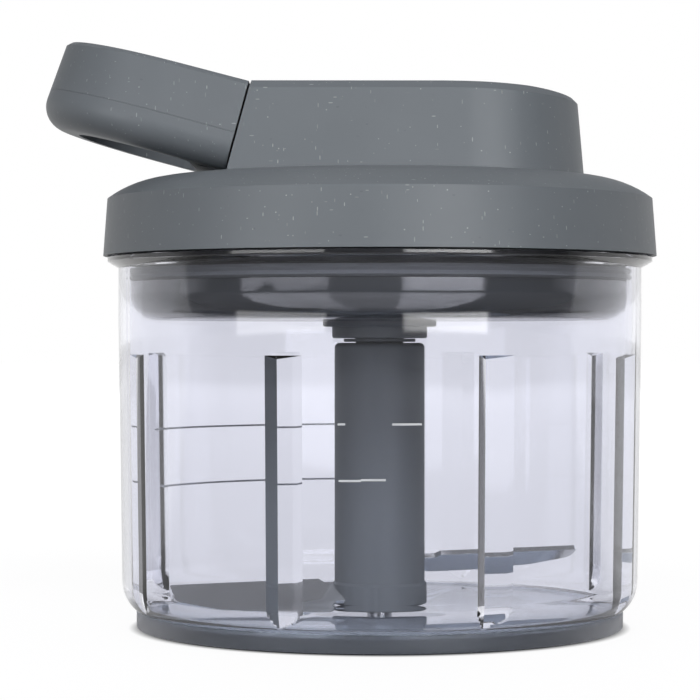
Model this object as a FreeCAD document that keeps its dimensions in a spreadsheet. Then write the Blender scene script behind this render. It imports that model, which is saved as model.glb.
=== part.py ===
import FreeCAD, Part
import math
import os
import Sketcher

# Pull-cord food chopper: a clear ribbed bowl on a non-slip pad, a lift-off lid with
# the recoil drum in its raised housing, a finger-loop handle that draws the cord out,
# and a blade column that spins on a pin in the bowl floor.
# Millimetres, +Z up. The origin is on the ground at the axis of the bowl. The handle
# points towards -X.

Vector = FreeCAD.Vector
Rotation = FreeCAD.Rotation
Placement = FreeCAD.Placement

doc = FreeCAD.newDocument("food_chopper")

# ---------------------------------------------------------------------------
# Driving dimensions
# ---------------------------------------------------------------------------

SIZES = (
    # Bowl and what it stands on
    ("bowl_radius", 62.4, "outer radius of the bowl wall"),
    ("bowl_wall", 2.0, "thickness of the bowl wall and floor"),
    ("bowl_underside", 2.8, "height of the underside of the bowl floor"),
    ("bowl_draft", 0.9, "how much the bowl narrows from the plug down to its floor"),
    ("bowl_corner", 8.5, "outer radius of the bottom corner of the bowl"),
    ("inside_corner", 5.8, "inner radius of that corner"),
    ("rim_top", 88.2, "height of the top of the bowl rim"),
    ("rim_step", 2.6, "how far the rim stands out from the bowl wall"),
    ("rim_height", 1.1, "height of the straight edge of the rim"),
    ("rim_slope", 1.5, "height of the slope under the rim"),
    ("foot_inset", 4.3, "how far the foot skirt stands in from the bowl wall"),
    ("foot_wall", 1.2, "thickness of the foot skirt"),
    ("foot_lift", 0.35, "height of the skirt's lower edge above the ground"),
    ("rib_count", 8, "number of baffle ribs inside the bowl"),
    ("rib_depth", 2.2, "how far a rib stands in from the wall"),
    ("rib_steep", 2.6, "width of the steep facet of a rib"),
    ("rib_gentle", 6.8, "width of the gentle facet of a rib"),
    ("rib_top", 65.2, "height of the top of a rib at the wall"),
    ("rib_end_drop", 2.6, "drop of the sloped rib end from the wall to its edge"),
    ("rib_phase", 22.5, "angle of the first rib from the +X axis"),
    ("pad_clear", 0.15, "gap between the pad and the foot skirt"),
    ("pad_lip", 0.75, "height of the pad's raised lip"),
    ("pad_groove", 0.6, "depth of the grooves in the underside of the pad"),
    ("pin_radius", 3.0, "radius of the steel pin that the blades spin on"),
    ("pin_top", 21.0, "height of the top of the pin"),
    ("pin_root", 1.5, "height of the lower end of the pin in its boss"),
    ("boss_radius", 8.0, "radius of the pin boss under the bowl floor"),
    ("boss_foot", 0.9, "height of the lower face of the pin boss"),
    # Blade column
    ("column_radius", 10.8, "radius of the blade column"),
    ("column_lift", 0.6, "gap between the column and the bowl floor"),
    ("column_clear", 1.1, "gap between the column and the lid's hub"),
    ("column_round", 1.2, "rounding of the top edge of the column"),
    ("collar_step", 0.5, "how far the collar at the column's foot stands out"),
    ("collar_top", 10.2, "height of the top of the collar"),
    ("running_clear", 0.06, "radial clearance of a turning fit"),
    ("hex_width", 10.0, "width across the flats of the drive hexagon"),
    ("hex_clear", 0.2, "clearance of the hexagon in its socket, each side"),
    ("hex_length", 10.5, "length of the drive hexagon"),
    ("blade_thick", 1.2, "thickness of a blade"),
    ("blade_clear", 6.2, "gap between a blade's tip and the ribs"),
    ("blade_half", 5.8, "half of the width of a blade"),
    ("blade_pitch", 25.0, "angle of a blade's face to the level"),
    ("blade_bearing", 24.0, "turn of the blades from the X axis at rest"),
    ("blade_root", 5.0, "distance of a blade's root from the axis"),
    ("lower_blade_height", 8.35, "height of the middle of the lower blade"),
    ("upper_blade_height", 14.9, "height of the middle of the upper blade"),
    ("edge_bevel", 2.4, "width of the ground bevel along the cutting edge"),
    ("edge_land", 0.35, "thickness left at the cutting edge"),
    # Lid
    ("lid_gap", 0.3, "gap between the lid's lower edge and the rim"),
    ("lid_overhang", 1.0, "how far the lid's lower edge stands out from the rim"),
    ("lid_taper", 1.0, "how far the lid narrows up to its shoulder"),
    ("skirt_height", 13.5, "height of the lid's skirt up to its shoulder"),
    ("dome_rise", 6.9, "rise of the lid's dome above its shoulder"),
    ("brow_width", 13.0, "width of the rounded brow round the dome"),
    ("brow_rise", 4.9, "rise of that brow"),
    ("brow_radius", 25.0, "radius of that brow in section"),
    ("lid_wall", 2.2, "thickness of the lid's wall"),
    ("snap_bead", 0.6, "depth of the bead that the lid base snaps over"),
    ("bead_height", 0.9, "height of that bead"),
    ("housing_half", 30.2, "half width of the raised housing at its foot"),
    ("housing_center", 19.0, "X of the centre of the housing's round end"),
    ("housing_lift", 2.0, "height of the foot of the housing's sides above the shoulder"),
    ("housing_draft", 5.0, "draft angle of the housing's sides"),
    ("housing_rise", 26.1, "height of the top of the housing above the shoulder"),
    ("housing_dip", 1.9, "how far the housing's top dips at its round end"),
    ("dip_start", 10.0, "X where the top starts to dip"),
    ("crown_edge", 1.7, "height and width of the band round the top"),
    ("nose_start", 34.0, "X where the top starts to fall to its nose"),
    ("nose_drop", 2.2, "fall of the top from there to the round end"),
    ("nose_bend", 138.0, "radius of that fall in section"),
    ("seam_x", -35.2, "X of the lower end of the seam before the handle"),
    ("seam_lift", 5.6, "height of the lower end of that seam above the shoulder"),
    ("pull_tilt", 15.0, "rise of the handle's pull direction from the level"),
    ("plug_clear", 0.9, "gap between the plug and the bowl wall"),
    ("plug_depth", 15.2, "how far the plug reaches down from the lid's lower edge"),
    ("plug_corner", 6.0, "outer radius of the plug's bottom corner"),
    ("plug_wall", 2.6, "thickness of the plug's wall"),
    ("flange_gap", 0.4, "gap between the plug's flange and the lid's wall"),
    ("flange_thick", 2.2, "thickness of the plug's flange"),
    ("seal_lift", 8.9, "height of the lid seal above the plug's underside"),
    ("seal_height", 3.2, "height of the lid seal"),
    ("seal_depth", 1.2, "depth of the seal's groove"),
    ("seal_clear", 0.1, "gap between the seal's lips and the bowl"),
    ("hub_step", 2.2, "how far the wide step of the lid's hub stands out"),
    ("hub_step_drop", 1.6, "how far that step reaches below the plug"),
    ("hub_wall", 3.4, "thickness of the hub's wall round the bush"),
    ("hub_drop", 4.4, "how far the lid's hub reaches below the plug"),
    ("hub_rise", 7.7, "how far the hub reaches up inside the lid"),
    # Bearing plate and its screws
    ("plate_drop", 4.0, "how far the bearing plate lies below the shoulder"),
    ("plate_thick", 2.4, "thickness of the bearing plate"),
    ("plate_radius", 43.4, "radius of the bearing plate"),
    ("post_boss_x", 17.0, "X of the screw bosses either side of the axis"),
    ("post_boss_y", 34.0, "Y of the screw bosses either side of the axis"),
    ("post_boss_radius", 3.4, "radius of a screw boss"),
    ("screw_radius", 1.4, "radius of a screw's thread"),
    ("screw_head_radius", 2.8, "radius of a screw's head"),
    ("screw_head", 1.7, "height of a screw's head"),
    ("screw_length", 6.5, "length of a plate screw's thread"),
    # Drive
    ("shaft_radius", 6.0, "radius of the drive shaft"),
    ("shaft_gap", 0.3, "step from the dog's neck up to the drive shaft"),
    ("bush_wall", 2.0, "thickness of a bearing bush"),
    ("bush_length", 6.0, "length of a bearing bush"),
    ("seal_ring_height", 3.0, "height of the shaft seal"),
    ("disc_radius", 17.0, "radius of the pawl disc on the drive shaft"),
    ("disc_lift", 9.6, "height of the pawl disc above the bearing plate"),
    ("disc_thick", 2.0, "thickness of the pawl disc"),
    ("neck_radius", 8.6, "radius of the dog's neck above the column"),
    ("neck_height", 0.75, "height of the dog's neck"),
    ("dog_lift", 0.25, "gap between the dog's neck and the column"),
    ("pawl_pivot", 12.2, "distance of a pawl's pin from the axis"),
    ("pawl_pin_radius", 1.0, "radius of a pawl's pin"),
    ("pawl_hub", 1.9, "radius of a pawl's round end"),
    ("pawl_reach", 7.6, "length of a pawl from its pin to its tip"),
    ("pawl_height", 3.0, "height of a pawl"),
    ("pawl_gap", 0.3, "gap above and below a pawl"),
    # Drum, recoil spring and cord
    ("post_radius", 3.0, "radius of the steel post that the drum turns on"),
    ("post_lift", 1.5, "height of the post's lower end above the bearing plate"),
    ("tooth_count", 12, "number of ratchet teeth inside the drum"),
    ("pawl_seat", 34.5, "angle from a pawl's pin to the tooth face behind its tip"),
    ("ramp_share", 0.87, "share of a tooth's step that its ramp takes"),
    ("tooth_tip", 14.6, "radius of the ratchet's tooth tips"),
    ("tooth_root", 17.0, "radius of the ratchet's tooth roots"),
    ("ratchet_wall", 1.9, "thickness of the wall behind the teeth"),
    ("drum_web", 1.6, "thickness of the drum's web"),
    ("drum_core", 19.6, "radius that the cord is wound on"),
    ("drum_wall", 2.4, "thickness of the drum's wall round the spring"),
    ("drum_flange", 23.4, "radius of the drum's flanges"),
    ("drum_flange_thick", 1.2, "thickness of a drum flange"),
    ("cord_radius", 0.8, "radius of the pull cord"),
    ("cord_turns", 3, "turns of cord on the drum at rest"),
    ("cord_lift", 9.5, "height of the middle turn of cord above the pawl disc"),
    ("spring_width", 5.4, "width of the spring strip"),
    ("spring_strip", 0.4, "thickness of the spring strip"),
    ("spring_pitch", 1.7, "distance between the turns of the spring"),
    ("spring_gap", 0.35, "gap between the spring and what it lies in"),
    ("cover_thick", 1.0, "thickness of the disc that closes the drum"),
    ("guide_radius", 3.4, "radius of the cord guide"),
    ("guide_length", 4.4, "length of the cord guide"),
    ("guide_bore", 1.25, "radius of the bore of the cord guide"),
    ("cord_offset", 9.8, "height of the cord above the lower end of the seam"),
    # Handle, in its own frame: u along the pull, v across, w up from the seam's end
    ("seam_gap", 0.5, "gap between the handle and the housing"),
    ("handle_length", 48.1, "reach of the handle along the pull"),
    ("handle_half", 29.6, "half width of the handle"),
    ("handle_height", 20.9, "height of the handle at the seam"),
    ("handle_drop", 0.3, "how much lower the handle is at its end"),
    ("handle_draft", 5.0, "draft angle of the handle's sides"),
    ("handle_edge", 0.9, "height and width of the band round the handle's top"),
    ("handle_round", 6.0, "rounding under the handle's outer edge"),
    ("band", 10.0, "width of the band round the finger opening"),
    ("cross_bar", 9.5, "width of the bar beside the seam"),
    ("opening_corner", 4.5, "rounding of the finger opening's two corners"),
    ("handle_wall", 2.0, "thickness of the handle's shells"),
    ("parting", 8.6, "height of the joint between the handle's shells"),
    ("parting_gap", 0.05, "width of the line between the handle's shells"),
    ("dome_clear", 0.35, "gap between the handle and the lid's dome"),
    ("handle_screw_rise", 11.5, "length of a handle screw's thread"),
    ("stop_radius", 2.8, "radius of the stop crimped on the cord's end"),
    ("stop_length", 3.6, "length of that stop"),
)

sheet = doc.addObject("Spreadsheet::Sheet", "Sizes")
for row, (alias, number, note) in enumerate(SIZES, start=1):
    sheet.set("A%d" % row, alias)
    sheet.set("B%d" % row, str(number))
    sheet.set("C%d" % row, note)
    sheet.setAlias("B%d" % row, alias)
doc.recompute()


class Size:
    """A length that keeps its number together with its spreadsheet formula."""

    def __init__(self, number, formula):
        self.number = float(number)
        self.formula = formula

    def __add__(self, other):
        other = as_size(other)
        return Size(self.number + other.number, "(%s + %s)" % (self.formula, other.formula))

    def __sub__(self, other):
        other = as_size(other)
        return Size(self.number - other.number, "(%s - %s)" % (self.formula, other.formula))

    def __mul__(self, other):
        other = as_size(other)
        return Size(self.number * other.number, "(%s * %s)" % (self.formula, other.formula))

    def __truediv__(self, other):
        other = as_size(other)
        return Size(self.number / other.number, "(%s / %s)" % (self.formula, other.formula))

    def __radd__(self, other):
        return as_size(other) + self

    def __rsub__(self, other):
        return as_size(other) - self

    def __rmul__(self, other):
        return as_size(other) * self

    def __rtruediv__(self, other):
        return as_size(other) / self

    def __neg__(self):
        return Size(-self.number, "(-1 * %s)" % self.formula)


def as_size(value):
    return value if isinstance(value, Size) else Size(value, repr(value))


def root(size):
    return Size(math.sqrt(size.number), "sqrt(%s)" % size.formula)


def tangent(degrees):
    number = math.tan(math.radians(degrees.number))
    return Size(number, "tan(%s * 1 deg)" % degrees.formula)


def cosine(degrees):
    number = math.cos(math.radians(degrees.number))
    return Size(number, "cos(%s * 1 deg)" % degrees.formula)


def sine(degrees):
    number = math.sin(math.radians(degrees.number))
    return Size(number, "sin(%s * 1 deg)" % degrees.formula)


class Sizes:
    """Each alias of the sheet as an attribute, such as S.bowl_radius."""


S = Sizes()
for alias, number, note in SIZES:
    setattr(S, alias, Size(sheet.get(alias), "Sizes." + alias))

# Radii, outwards from the bowl wall
bowl_inside = S.bowl_radius - S.bowl_wall
S.rim_radius = S.bowl_radius + S.rim_step
S.foot_radius = S.bowl_radius - S.foot_inset
S.lid_radius = S.rim_radius + S.lid_overhang
S.shoulder_radius = S.lid_radius - S.lid_taper
S.plug_radius = bowl_inside - S.plug_clear
S.blade_reach = bowl_inside - S.rib_depth - S.blade_clear
S.collar_radius = S.column_radius + S.collar_step
S.hub_radius = S.shaft_radius + S.bush_wall + S.hub_wall
S.hub_step_radius = S.hub_radius + S.hub_step

# Heights, upwards from the floor and from the rim
floor_top = S.bowl_underside + S.bowl_wall
S.column_foot = floor_top + S.column_lift
S.lid_bottom = S.rim_top + S.lid_gap
S.shoulder_height = S.lid_bottom + S.skirt_height
S.housing_foot = S.shoulder_height + S.housing_lift
S.housing_top = S.shoulder_height + S.housing_rise
S.seam_z = S.shoulder_height + S.seam_lift
S.plug_bottom = S.lid_bottom - S.plug_depth
S.seal_bottom = S.plug_bottom + S.seal_lift
S.hub_foot = S.plug_bottom - S.hub_drop
S.hub_step_foot = S.plug_bottom - S.hub_step_drop
S.hub_top = S.plug_bottom + S.hub_rise
S.column_top = S.hub_foot - S.column_clear
S.shaft_foot = S.column_top + S.dog_lift + S.neck_height + S.shaft_gap
S.plate_top = S.shoulder_height - S.plate_drop
S.post_foot = S.plate_top + S.post_lift
S.disc_top = S.plate_top + S.disc_lift
S.cord_height = S.disc_top + S.cord_lift


# ---------------------------------------------------------------------------
# Sketches and features
# ---------------------------------------------------------------------------


def bind(thing, name, value):
    thing.setExpression(name, as_size(value).formula)


def new_body(label):
    body = doc.addObject("PartDesign::Body", label)
    body.Label = label
    return body


def origin_feature(body, role):
    return [item for item in body.Origin.OriginFeatures if item.Role == role][0]


def new_sketch(body, name, plane="XY_Plane", lift=0.0):
    """A sketch on one of the body's own planes, lifted along its normal."""
    sketch = body.newObject("Sketcher::SketchObject", name)
    sketch.AttachmentSupport = [(origin_feature(body, plane), "")]
    sketch.MapMode = "FlatFace"
    sketch.AttachmentOffset = Placement(Vector(0, 0, as_size(lift).number), Rotation())
    if isinstance(lift, Size):
        bind(sketch, "AttachmentOffset.Base.z", lift)
    return sketch


def pin_point(sketch, geometry, end, x, y):
    """Fixes one point of the sketch by its distances from the origin."""
    for kind, value in (("DistanceX", as_size(x)), ("DistanceY", as_size(y))):
        index = sketch.addConstraint(
            Sketcher.Constraint(kind, -1, 1, geometry, end, value.number))
        bind(sketch, "Constraints[%d]" % index, value)


def fix_radius(sketch, geometry, radius):
    radius = as_size(radius)
    index = sketch.addConstraint(Sketcher.Constraint("Radius", geometry, radius.number))
    bind(sketch, "Constraints[%d]" % index, radius)


def draw_circle(sketch, x, y, radius):
    x, y, radius = as_size(x), as_size(y), as_size(radius)
    circle = Part.Circle(Vector(x.number, y.number, 0), Vector(0, 0, 1), radius.number)
    index = sketch.addGeometry(circle, False)
    pin_point(sketch, index, 3, x, y)
    fix_radius(sketch, index, radius)


def arc_between(start, end, center, radius, turn):
    """An arc and its end numbers in path order. turn is +1 for counterclockwise."""
    first, last = (start, end) if turn > 0 else (end, start)
    low = math.atan2(first.y - center.y, first.x - center.x)
    high = math.atan2(last.y - center.y, last.x - center.x)
    if high <= low:
        high += 2 * math.pi
    circle = Part.Circle(center, Vector(0, 0, 1), radius)
    arc = Part.ArcOfCircle(circle, low, high)
    return arc, (1, 2) if turn > 0 else (2, 1)


def bend_center(start, end, radius, turn):
    """Centre of the short arc of that radius between two points."""
    chord = end - start
    middle = (start + end) * 0.5
    rise = math.sqrt(max(radius ** 2 - (chord.Length / 2) ** 2, 0))
    side = Vector(-chord.y, chord.x, 0).normalize()
    return middle + side * rise * turn


def draw_outline(sketch, corners):
    """A closed outline of lines and arcs.

    A corner is (x, y), or (x, y, {"round": radius}) for a rounded corner, or
    (x, y, {"bend": radius, "turn": +1 or -1}) where the edge that leaves it is an arc.
    """
    corners = [(as_size(c[0]), as_size(c[1]), c[2] if len(c) > 2 else {}) for c in corners]
    points = [Vector(c[0].number, c[1].number, 0) for c in corners]
    count = len(points)
    entry, leave, fillets = list(points), list(points), {}
    for i, (x, y, how) in enumerate(corners):
        if "round" not in how:
            continue
        radius = as_size(how["round"]).number
        back = (points[i - 1] - points[i]).normalize()
        ahead = (points[(i + 1) % count] - points[i]).normalize()
        half = back.getAngle(ahead) / 2
        entry[i] = points[i] + back * (radius / math.tan(half))
        leave[i] = points[i] + ahead * (radius / math.tan(half))
        center = points[i] + (back + ahead).normalize() * (radius / math.sin(half))
        turn = 1 if back.cross(ahead).z < 0 else -1
        fillets[i] = arc_between(entry[i], leave[i], center, radius, turn)
    edges = []
    for i, (x, y, how) in enumerate(corners):
        start, end = leave[i], entry[(i + 1) % count]
        if "bend" in how:
            radius = as_size(how["bend"]).number
            center = bend_center(start, end, radius, how["turn"])
            arc, ends = arc_between(start, end, center, radius, how["turn"])
            edges.append((sketch.addGeometry(arc, False), ends))
        else:
            edges.append((sketch.addGeometry(Part.LineSegment(start, end), False), (1, 2)))
    for i, (x, y, how) in enumerate(corners):
        before, after = edges[i - 1], edges[i]
        if i in fillets:
            arc, ends = fillets[i]
            index = sketch.addGeometry(arc, False)
            corner = sketch.addGeometry(Part.Point(points[i]), True)
            pin_point(sketch, corner, 1, x, y)
            sketch.addConstraint([
                Sketcher.Constraint("PointOnObject", corner, 1, before[0]),
                Sketcher.Constraint("PointOnObject", corner, 1, after[0]),
                Sketcher.Constraint("Tangent", before[0], before[1][1], index, ends[0]),
                Sketcher.Constraint("Tangent", index, ends[1], after[0], after[1][0])])
            fix_radius(sketch, index, how["round"])
        else:
            sketch.addConstraint(Sketcher.Constraint(
                "Coincident", before[0], before[1][1], after[0], after[1][0]))
            pin_point(sketch, after[0], after[1][0], x, y)
        if "bend" in how:
            fix_radius(sketch, after[0], how["bend"])


def revolve(body, name, corners):
    """Turns an outline in the XZ plane once round the Z axis."""
    sketch = new_sketch(body, name + "_profile", "XZ_Plane")
    draw_outline(sketch, corners)
    feature = body.newObject("PartDesign::Revolution", name)
    feature.Profile = sketch
    feature.ReferenceAxis = (sketch, ["V_Axis"])
    feature.Angle = 360
    return feature


def groove(body, name, corners):
    sketch = new_sketch(body, name + "_profile", "XZ_Plane")
    draw_outline(sketch, corners)
    feature = body.newObject("PartDesign::Groove", name)
    feature.Profile = sketch
    feature.ReferenceAxis = (sketch, ["V_Axis"])
    feature.Angle = 360
    return feature


def ring(inner, outer, low, high):
    """Corners of the section of a plain ring."""
    return [(inner, low), (outer, low), (outer, high), (inner, high)]


def pad(body, name, sketch, length, both_ways=False):
    feature = body.newObject("PartDesign::Pad", name)
    feature.Profile = sketch
    bind(feature, "Length", length)
    if both_ways:
        feature.SideType = "Symmetric"
    return feature


def pocket(body, name, sketch, length, both_ways=False, reverse=False):
    feature = body.newObject("PartDesign::Pocket", name)
    feature.Profile = sketch
    bind(feature, "Length", length)
    if both_ways:
        feature.SideType = "Symmetric"
    feature.Reversed = reverse
    return feature


def polar(body, name, feature, count):
    pattern = body.newObject("PartDesign::PolarPattern", name)
    pattern.Originals = [feature]
    pattern.Axis = (origin_feature(body, "Z_Axis"), [""])
    pattern.Angle = 360
    bind(pattern, "Occurrences", count)
    body.Tip = pattern
    return pattern


def find_edges(shape, test):
    return ["Edge%d" % i for i, edge in enumerate(shape.Edges, start=1) if test(edge)]


def round_edges(body, name, test, size, chamfer=False):
    """Rounds or chamfers the edges of the body's last feature that pass the test."""
    doc.recompute()
    base = body.Tip
    feature = body.newObject("PartDesign::Chamfer" if chamfer else "PartDesign::Fillet", name)
    feature.Base = (base, find_edges(base.Shape, test))
    bind(feature, "Size" if chamfer else "Radius", size)
    return feature


def cut(name, base, tool):
    feature = doc.addObject("Part::Cut", name)
    feature.Base, feature.Tool = base, tool
    feature.Refine = True
    return feature


def fuse(name, items):
    feature = doc.addObject("Part::MultiFuse", name)
    feature.Shapes = items
    feature.Refine = True
    return feature


def common(name, items):
    feature = doc.addObject("Part::MultiCommon", name)
    feature.Shapes = items
    feature.Refine = True
    return feature


def cylinder(name, radius, height, place):
    """A cylinder along its own Z, put at a place given as a Placement."""
    feature = doc.addObject("Part::Cylinder", name)
    bind(feature, "Radius", radius)
    bind(feature, "Height", height)
    feature.Placement = place
    return feature


def raised(x, y, z):
    """A place with no turn, for sizes or numbers."""
    return Placement(Vector(*(as_size(value).number for value in (x, y, z))), Rotation())


def move_up(feature, height):
    bind(feature, "Placement.Base.z", height)
    return feature


# ---------------------------------------------------------------------------
# Derived sizes
# ---------------------------------------------------------------------------

dome_top = S.shoulder_height + S.dome_rise
tip_x = S.housing_center + S.housing_half
plate_bottom = S.plate_top - S.plate_thick
pawl_foot = S.disc_top + S.pawl_gap
web_bottom = pawl_foot + S.pawl_height + S.pawl_gap
web_top = web_bottom + S.drum_web
winding_height = 2 * S.cord_radius * S.cord_turns + 0.2
winding_low = S.cord_height - winding_height / 2
winding_high = S.cord_height + winding_height / 2
drum_top = winding_high + S.drum_flange_thick
spring_room = S.drum_core - S.drum_wall
hub_bore = S.shaft_radius + S.bush_wall
dog_foot = S.column_top + S.dog_lift - S.hex_length

# The handle's frame: its X runs along the pull, its Z is square to it, upwards.
pull_turn = Rotation(Vector(0, 1, 0), S.pull_tilt.number) * Rotation(Vector(0, 0, 1), 180)
pull_frame = Placement(Vector(S.seam_x.number, 0, S.seam_z.number), pull_turn)


# ---------------------------------------------------------------------------
# Bowl group
# ---------------------------------------------------------------------------


def make_bowl():
    """Clear bowl: outer form, less a cavity that has the ribs cut out of it."""
    form = new_body("bowl_form")
    rim_low = S.rim_top - S.rim_height
    revolve(form, "outer_form", [
        (0, S.bowl_underside),
        (S.bowl_radius - S.bowl_draft, S.bowl_underside, {"round": S.bowl_corner}),
        (S.bowl_radius, S.plug_bottom),
        (S.bowl_radius, rim_low - S.rim_slope),
        (S.rim_radius, rim_low),
        (S.rim_radius, S.rim_top, {"round": 0.5}),
        (0, S.rim_top)])
    revolve(form, "foot_skirt", ring(S.foot_radius - S.foot_wall, S.foot_radius, S.foot_lift,
                                     S.bowl_underside + S.bowl_wall * 1.2))
    revolve(form, "pin_boss", ring(S.pin_radius, S.boss_radius, S.boss_foot,
                                   S.bowl_underside + S.bowl_wall / 2))
    hollow = new_body("bowl_hollow")
    revolve(hollow, "inside_form", [
        (0, S.pin_root),
        (S.pin_radius, S.pin_root),
        (S.pin_radius, floor_top),
        (bowl_inside - S.bowl_draft, floor_top, {"round": S.inside_corner}),
        (bowl_inside, S.plug_bottom),
        (bowl_inside, S.rim_top + 5),
        (0, S.rim_top + 5)])
    ribs = make_ribs()
    cavity = cut("bowl_cavity", hollow, ribs)
    return cut("bowl", form, cavity)


def make_ribs():
    """Baffle ribs: one wedge that leans with the wall, with a sloped upper end, repeated."""
    body = new_body("bowl_ribs")
    spread = (S.rib_depth + 1) / S.rib_depth
    edge = bowl_inside - S.rib_depth
    low_edge = edge - S.bowl_draft
    section = new_sketch(body, "rib_section", "XY_Plane", S.bowl_underside)
    lean = math.atan2(S.bowl_draft.number, S.plug_bottom.number - floor_top.number)
    section.AttachmentOffset = Placement(
        section.AttachmentOffset.Base, Rotation(Vector(0, 1, 0), math.degrees(lean)))
    draw_outline(section, [
        (low_edge, 0),
        (low_edge + S.rib_depth + 1, -S.rib_steep * spread),
        (low_edge + S.rib_depth + 1, S.rib_gentle * spread)])
    pad(body, "rib_wedge", section, S.rib_top + S.rib_end_drop - S.bowl_underside)
    slope = new_sketch(body, "rib_end", "XZ_Plane")
    draw_outline(slope, [
        (edge - 1, S.rib_top - S.rib_end_drop * spread),
        (bowl_inside, S.rib_top),
        (bowl_inside + 3, S.rib_top),
        (bowl_inside + 3, S.rib_top + 9),
        (edge - 1, S.rib_top + 9)])
    pocket(body, "rib_end_cut", slope, bowl_inside, both_ways=True)
    doc.recompute()
    wedge = body.Tip
    pattern = body.newObject("PartDesign::PolarPattern", "rib_ring")
    pattern.Originals = [body.getObject("rib_wedge"), wedge]
    pattern.Axis = (origin_feature(body, "Z_Axis"), [""])
    pattern.Angle = 360
    bind(pattern, "Occurrences", S.rib_count)
    body.Tip = pattern
    body.Placement.Rotation = Rotation(Vector(0, 0, 1), S.rib_phase.number)
    return body


def make_base_pad():
    """Soft disc under the bowl, let into the foot skirt, with grooves to grip."""
    body = new_body("base_pad")
    edge = S.foot_radius - S.foot_wall - S.pad_clear
    lip_inner = S.bowl_radius - S.bowl_draft - S.bowl_corner + 2
    revolve(body, "pad_form", [
        (0, 0),
        (edge, 0, {"round": 0.6}),
        (edge, S.bowl_underside + S.pad_lip),
        (lip_inner, S.bowl_underside),
        (S.boss_radius + 0.2, S.bowl_underside),
        (S.boss_radius + 0.2, S.boss_foot),
        (0, S.boss_foot)])
    for name, radius in (("inner_groove", edge * 0.35), ("outer_groove", edge * 0.8)):
        groove(body, name, ring(radius, radius + 3, -1, S.pad_groove))
    return body


def make_pivot_pin():
    body = new_body("pivot_pin")
    revolve(body, "pin_form", [
        (0, S.pin_root),
        (S.pin_radius, S.pin_root),
        (S.pin_radius, S.pin_top - 1.2),
        (S.pin_radius - 1.2, S.pin_top),
        (0, S.pin_top)])
    return body


# ---------------------------------------------------------------------------
# Blade unit
# ---------------------------------------------------------------------------


def hexagon(sketch, width):
    """A regular hexagon centred on the origin, given across its flats."""
    side = width / root(as_size(3))
    half = width / 2
    draw_outline(sketch, [
        (side, 0), (side / 2, half), (-side / 2, half),
        (-side, 0), (-side / 2, -half), (side / 2, -half)])


def make_blade(label, bearing, height):
    """A ground steel arm: flat outline, bevelled leading edge, then pitched and set."""
    body = new_body(label)
    half = S.blade_half
    neck = S.collar_radius + half * 0.28
    sketch = new_sketch(body, label + "_outline", "XY_Plane", -S.blade_thick / 2)
    draw_outline(sketch, [
        (S.blade_root, -half * 0.7),
        (neck, -half * 0.7),
        (neck + half * 0.15, -half),
        (S.blade_reach - half * 0.1, -half, {"round": half * 0.14}),
        (S.blade_reach, -half * 0.1, {"round": half * 0.43}),
        (S.blade_reach - half * 1.55, half * 0.62, {"bend": S.blade_reach * 1.83, "turn": 1}),
        (neck + half * 0.34, half),
        (neck, half * 0.7),
        (S.blade_root, half * 0.7)])
    pad(body, label + "_plate", sketch, S.blade_thick)
    doc.recompute()
    edge = body.newObject("PartDesign::Chamfer", label + "_edge")
    plate = body.getObject(label + "_plate")
    face_height = S.blade_thick.number / 2

    def on_cutting_edge(item):
        middle = item.valueAt((item.FirstParameter + item.LastParameter) / 2)
        long_enough = item.Length > 3 * S.blade_half.number
        return long_enough and middle.y > 0 and abs(middle.z - face_height) < 0.01

    edge.Base = (plate, find_edges(plate.Shape, on_cutting_edge))
    edge.ChamferType = "Two distances"
    bind(edge, "Size", S.blade_thick - S.edge_land)
    bind(edge, "Size2", S.edge_bevel)
    pitch = Rotation(Vector(1, 0, 0), -S.blade_pitch.number)
    turn = Rotation(Vector(0, 0, 1), bearing)
    body.Placement = Placement(Vector(0, 0, height.number), turn * pitch)
    bind(body, "Placement.Base.z", height)
    return body


def make_blade_unit():
    lower = make_blade("lower_blade", 180 + S.blade_bearing.number, S.lower_blade_height)
    upper = make_blade("upper_blade", S.blade_bearing.number, S.upper_blade_height)
    column = new_body("column_form")
    bore = S.pin_radius + S.running_clear
    revolve(column, "column_profile", [
        (bore + 0.8, S.column_foot),
        (S.collar_radius, S.column_foot, {"round": 0.5}),
        (S.collar_radius, S.collar_top),
        (S.column_radius, S.collar_top + 0.6),
        (S.column_radius, S.column_top, {"round": S.column_round}),
        (0, S.column_top),
        (0, S.pin_top + 0.5),
        (bore, S.pin_top + 0.5),
        (bore, S.column_foot + 0.8)])
    socket = new_sketch(column, "socket_outline", "XY_Plane", S.column_top)
    hexagon(socket, S.hex_width + 2 * S.hex_clear)
    pocket(column, "socket", socket, S.hex_length + 0.6)
    blades = fuse("blade_tool", [lower, upper])
    shaft = cut("blade_shaft", column, blades)
    return shaft, lower, upper


# ---------------------------------------------------------------------------
# Lid
# ---------------------------------------------------------------------------


def crown_bend(half):
    """Radius of the dome's middle, which is half wide where its brow begins."""
    rise = S.dome_rise - S.brow_rise
    return (rise * rise + half * half) / (2 * rise)


def dome_form(label, inset, bottom):
    """The lid's round form, or its inside where inset is the wall."""
    body = new_body(label)
    shoulder = S.shoulder_height - inset
    slope = (S.lid_radius - S.shoulder_radius) / (S.shoulder_height - S.lid_bottom)
    low_radius = S.lid_radius - inset + slope * (S.lid_bottom - bottom)
    half = S.shoulder_radius - inset
    brow = half - S.brow_width
    revolve(body, label + "_turned", [
        (0, bottom),
        (low_radius, bottom),
        (half, shoulder, {"bend": S.brow_radius, "turn": 1}),
        (brow, shoulder + S.brow_rise, {"bend": crown_bend(brow), "turn": 1}),
        (0, dome_top - inset)])
    return body


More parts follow.
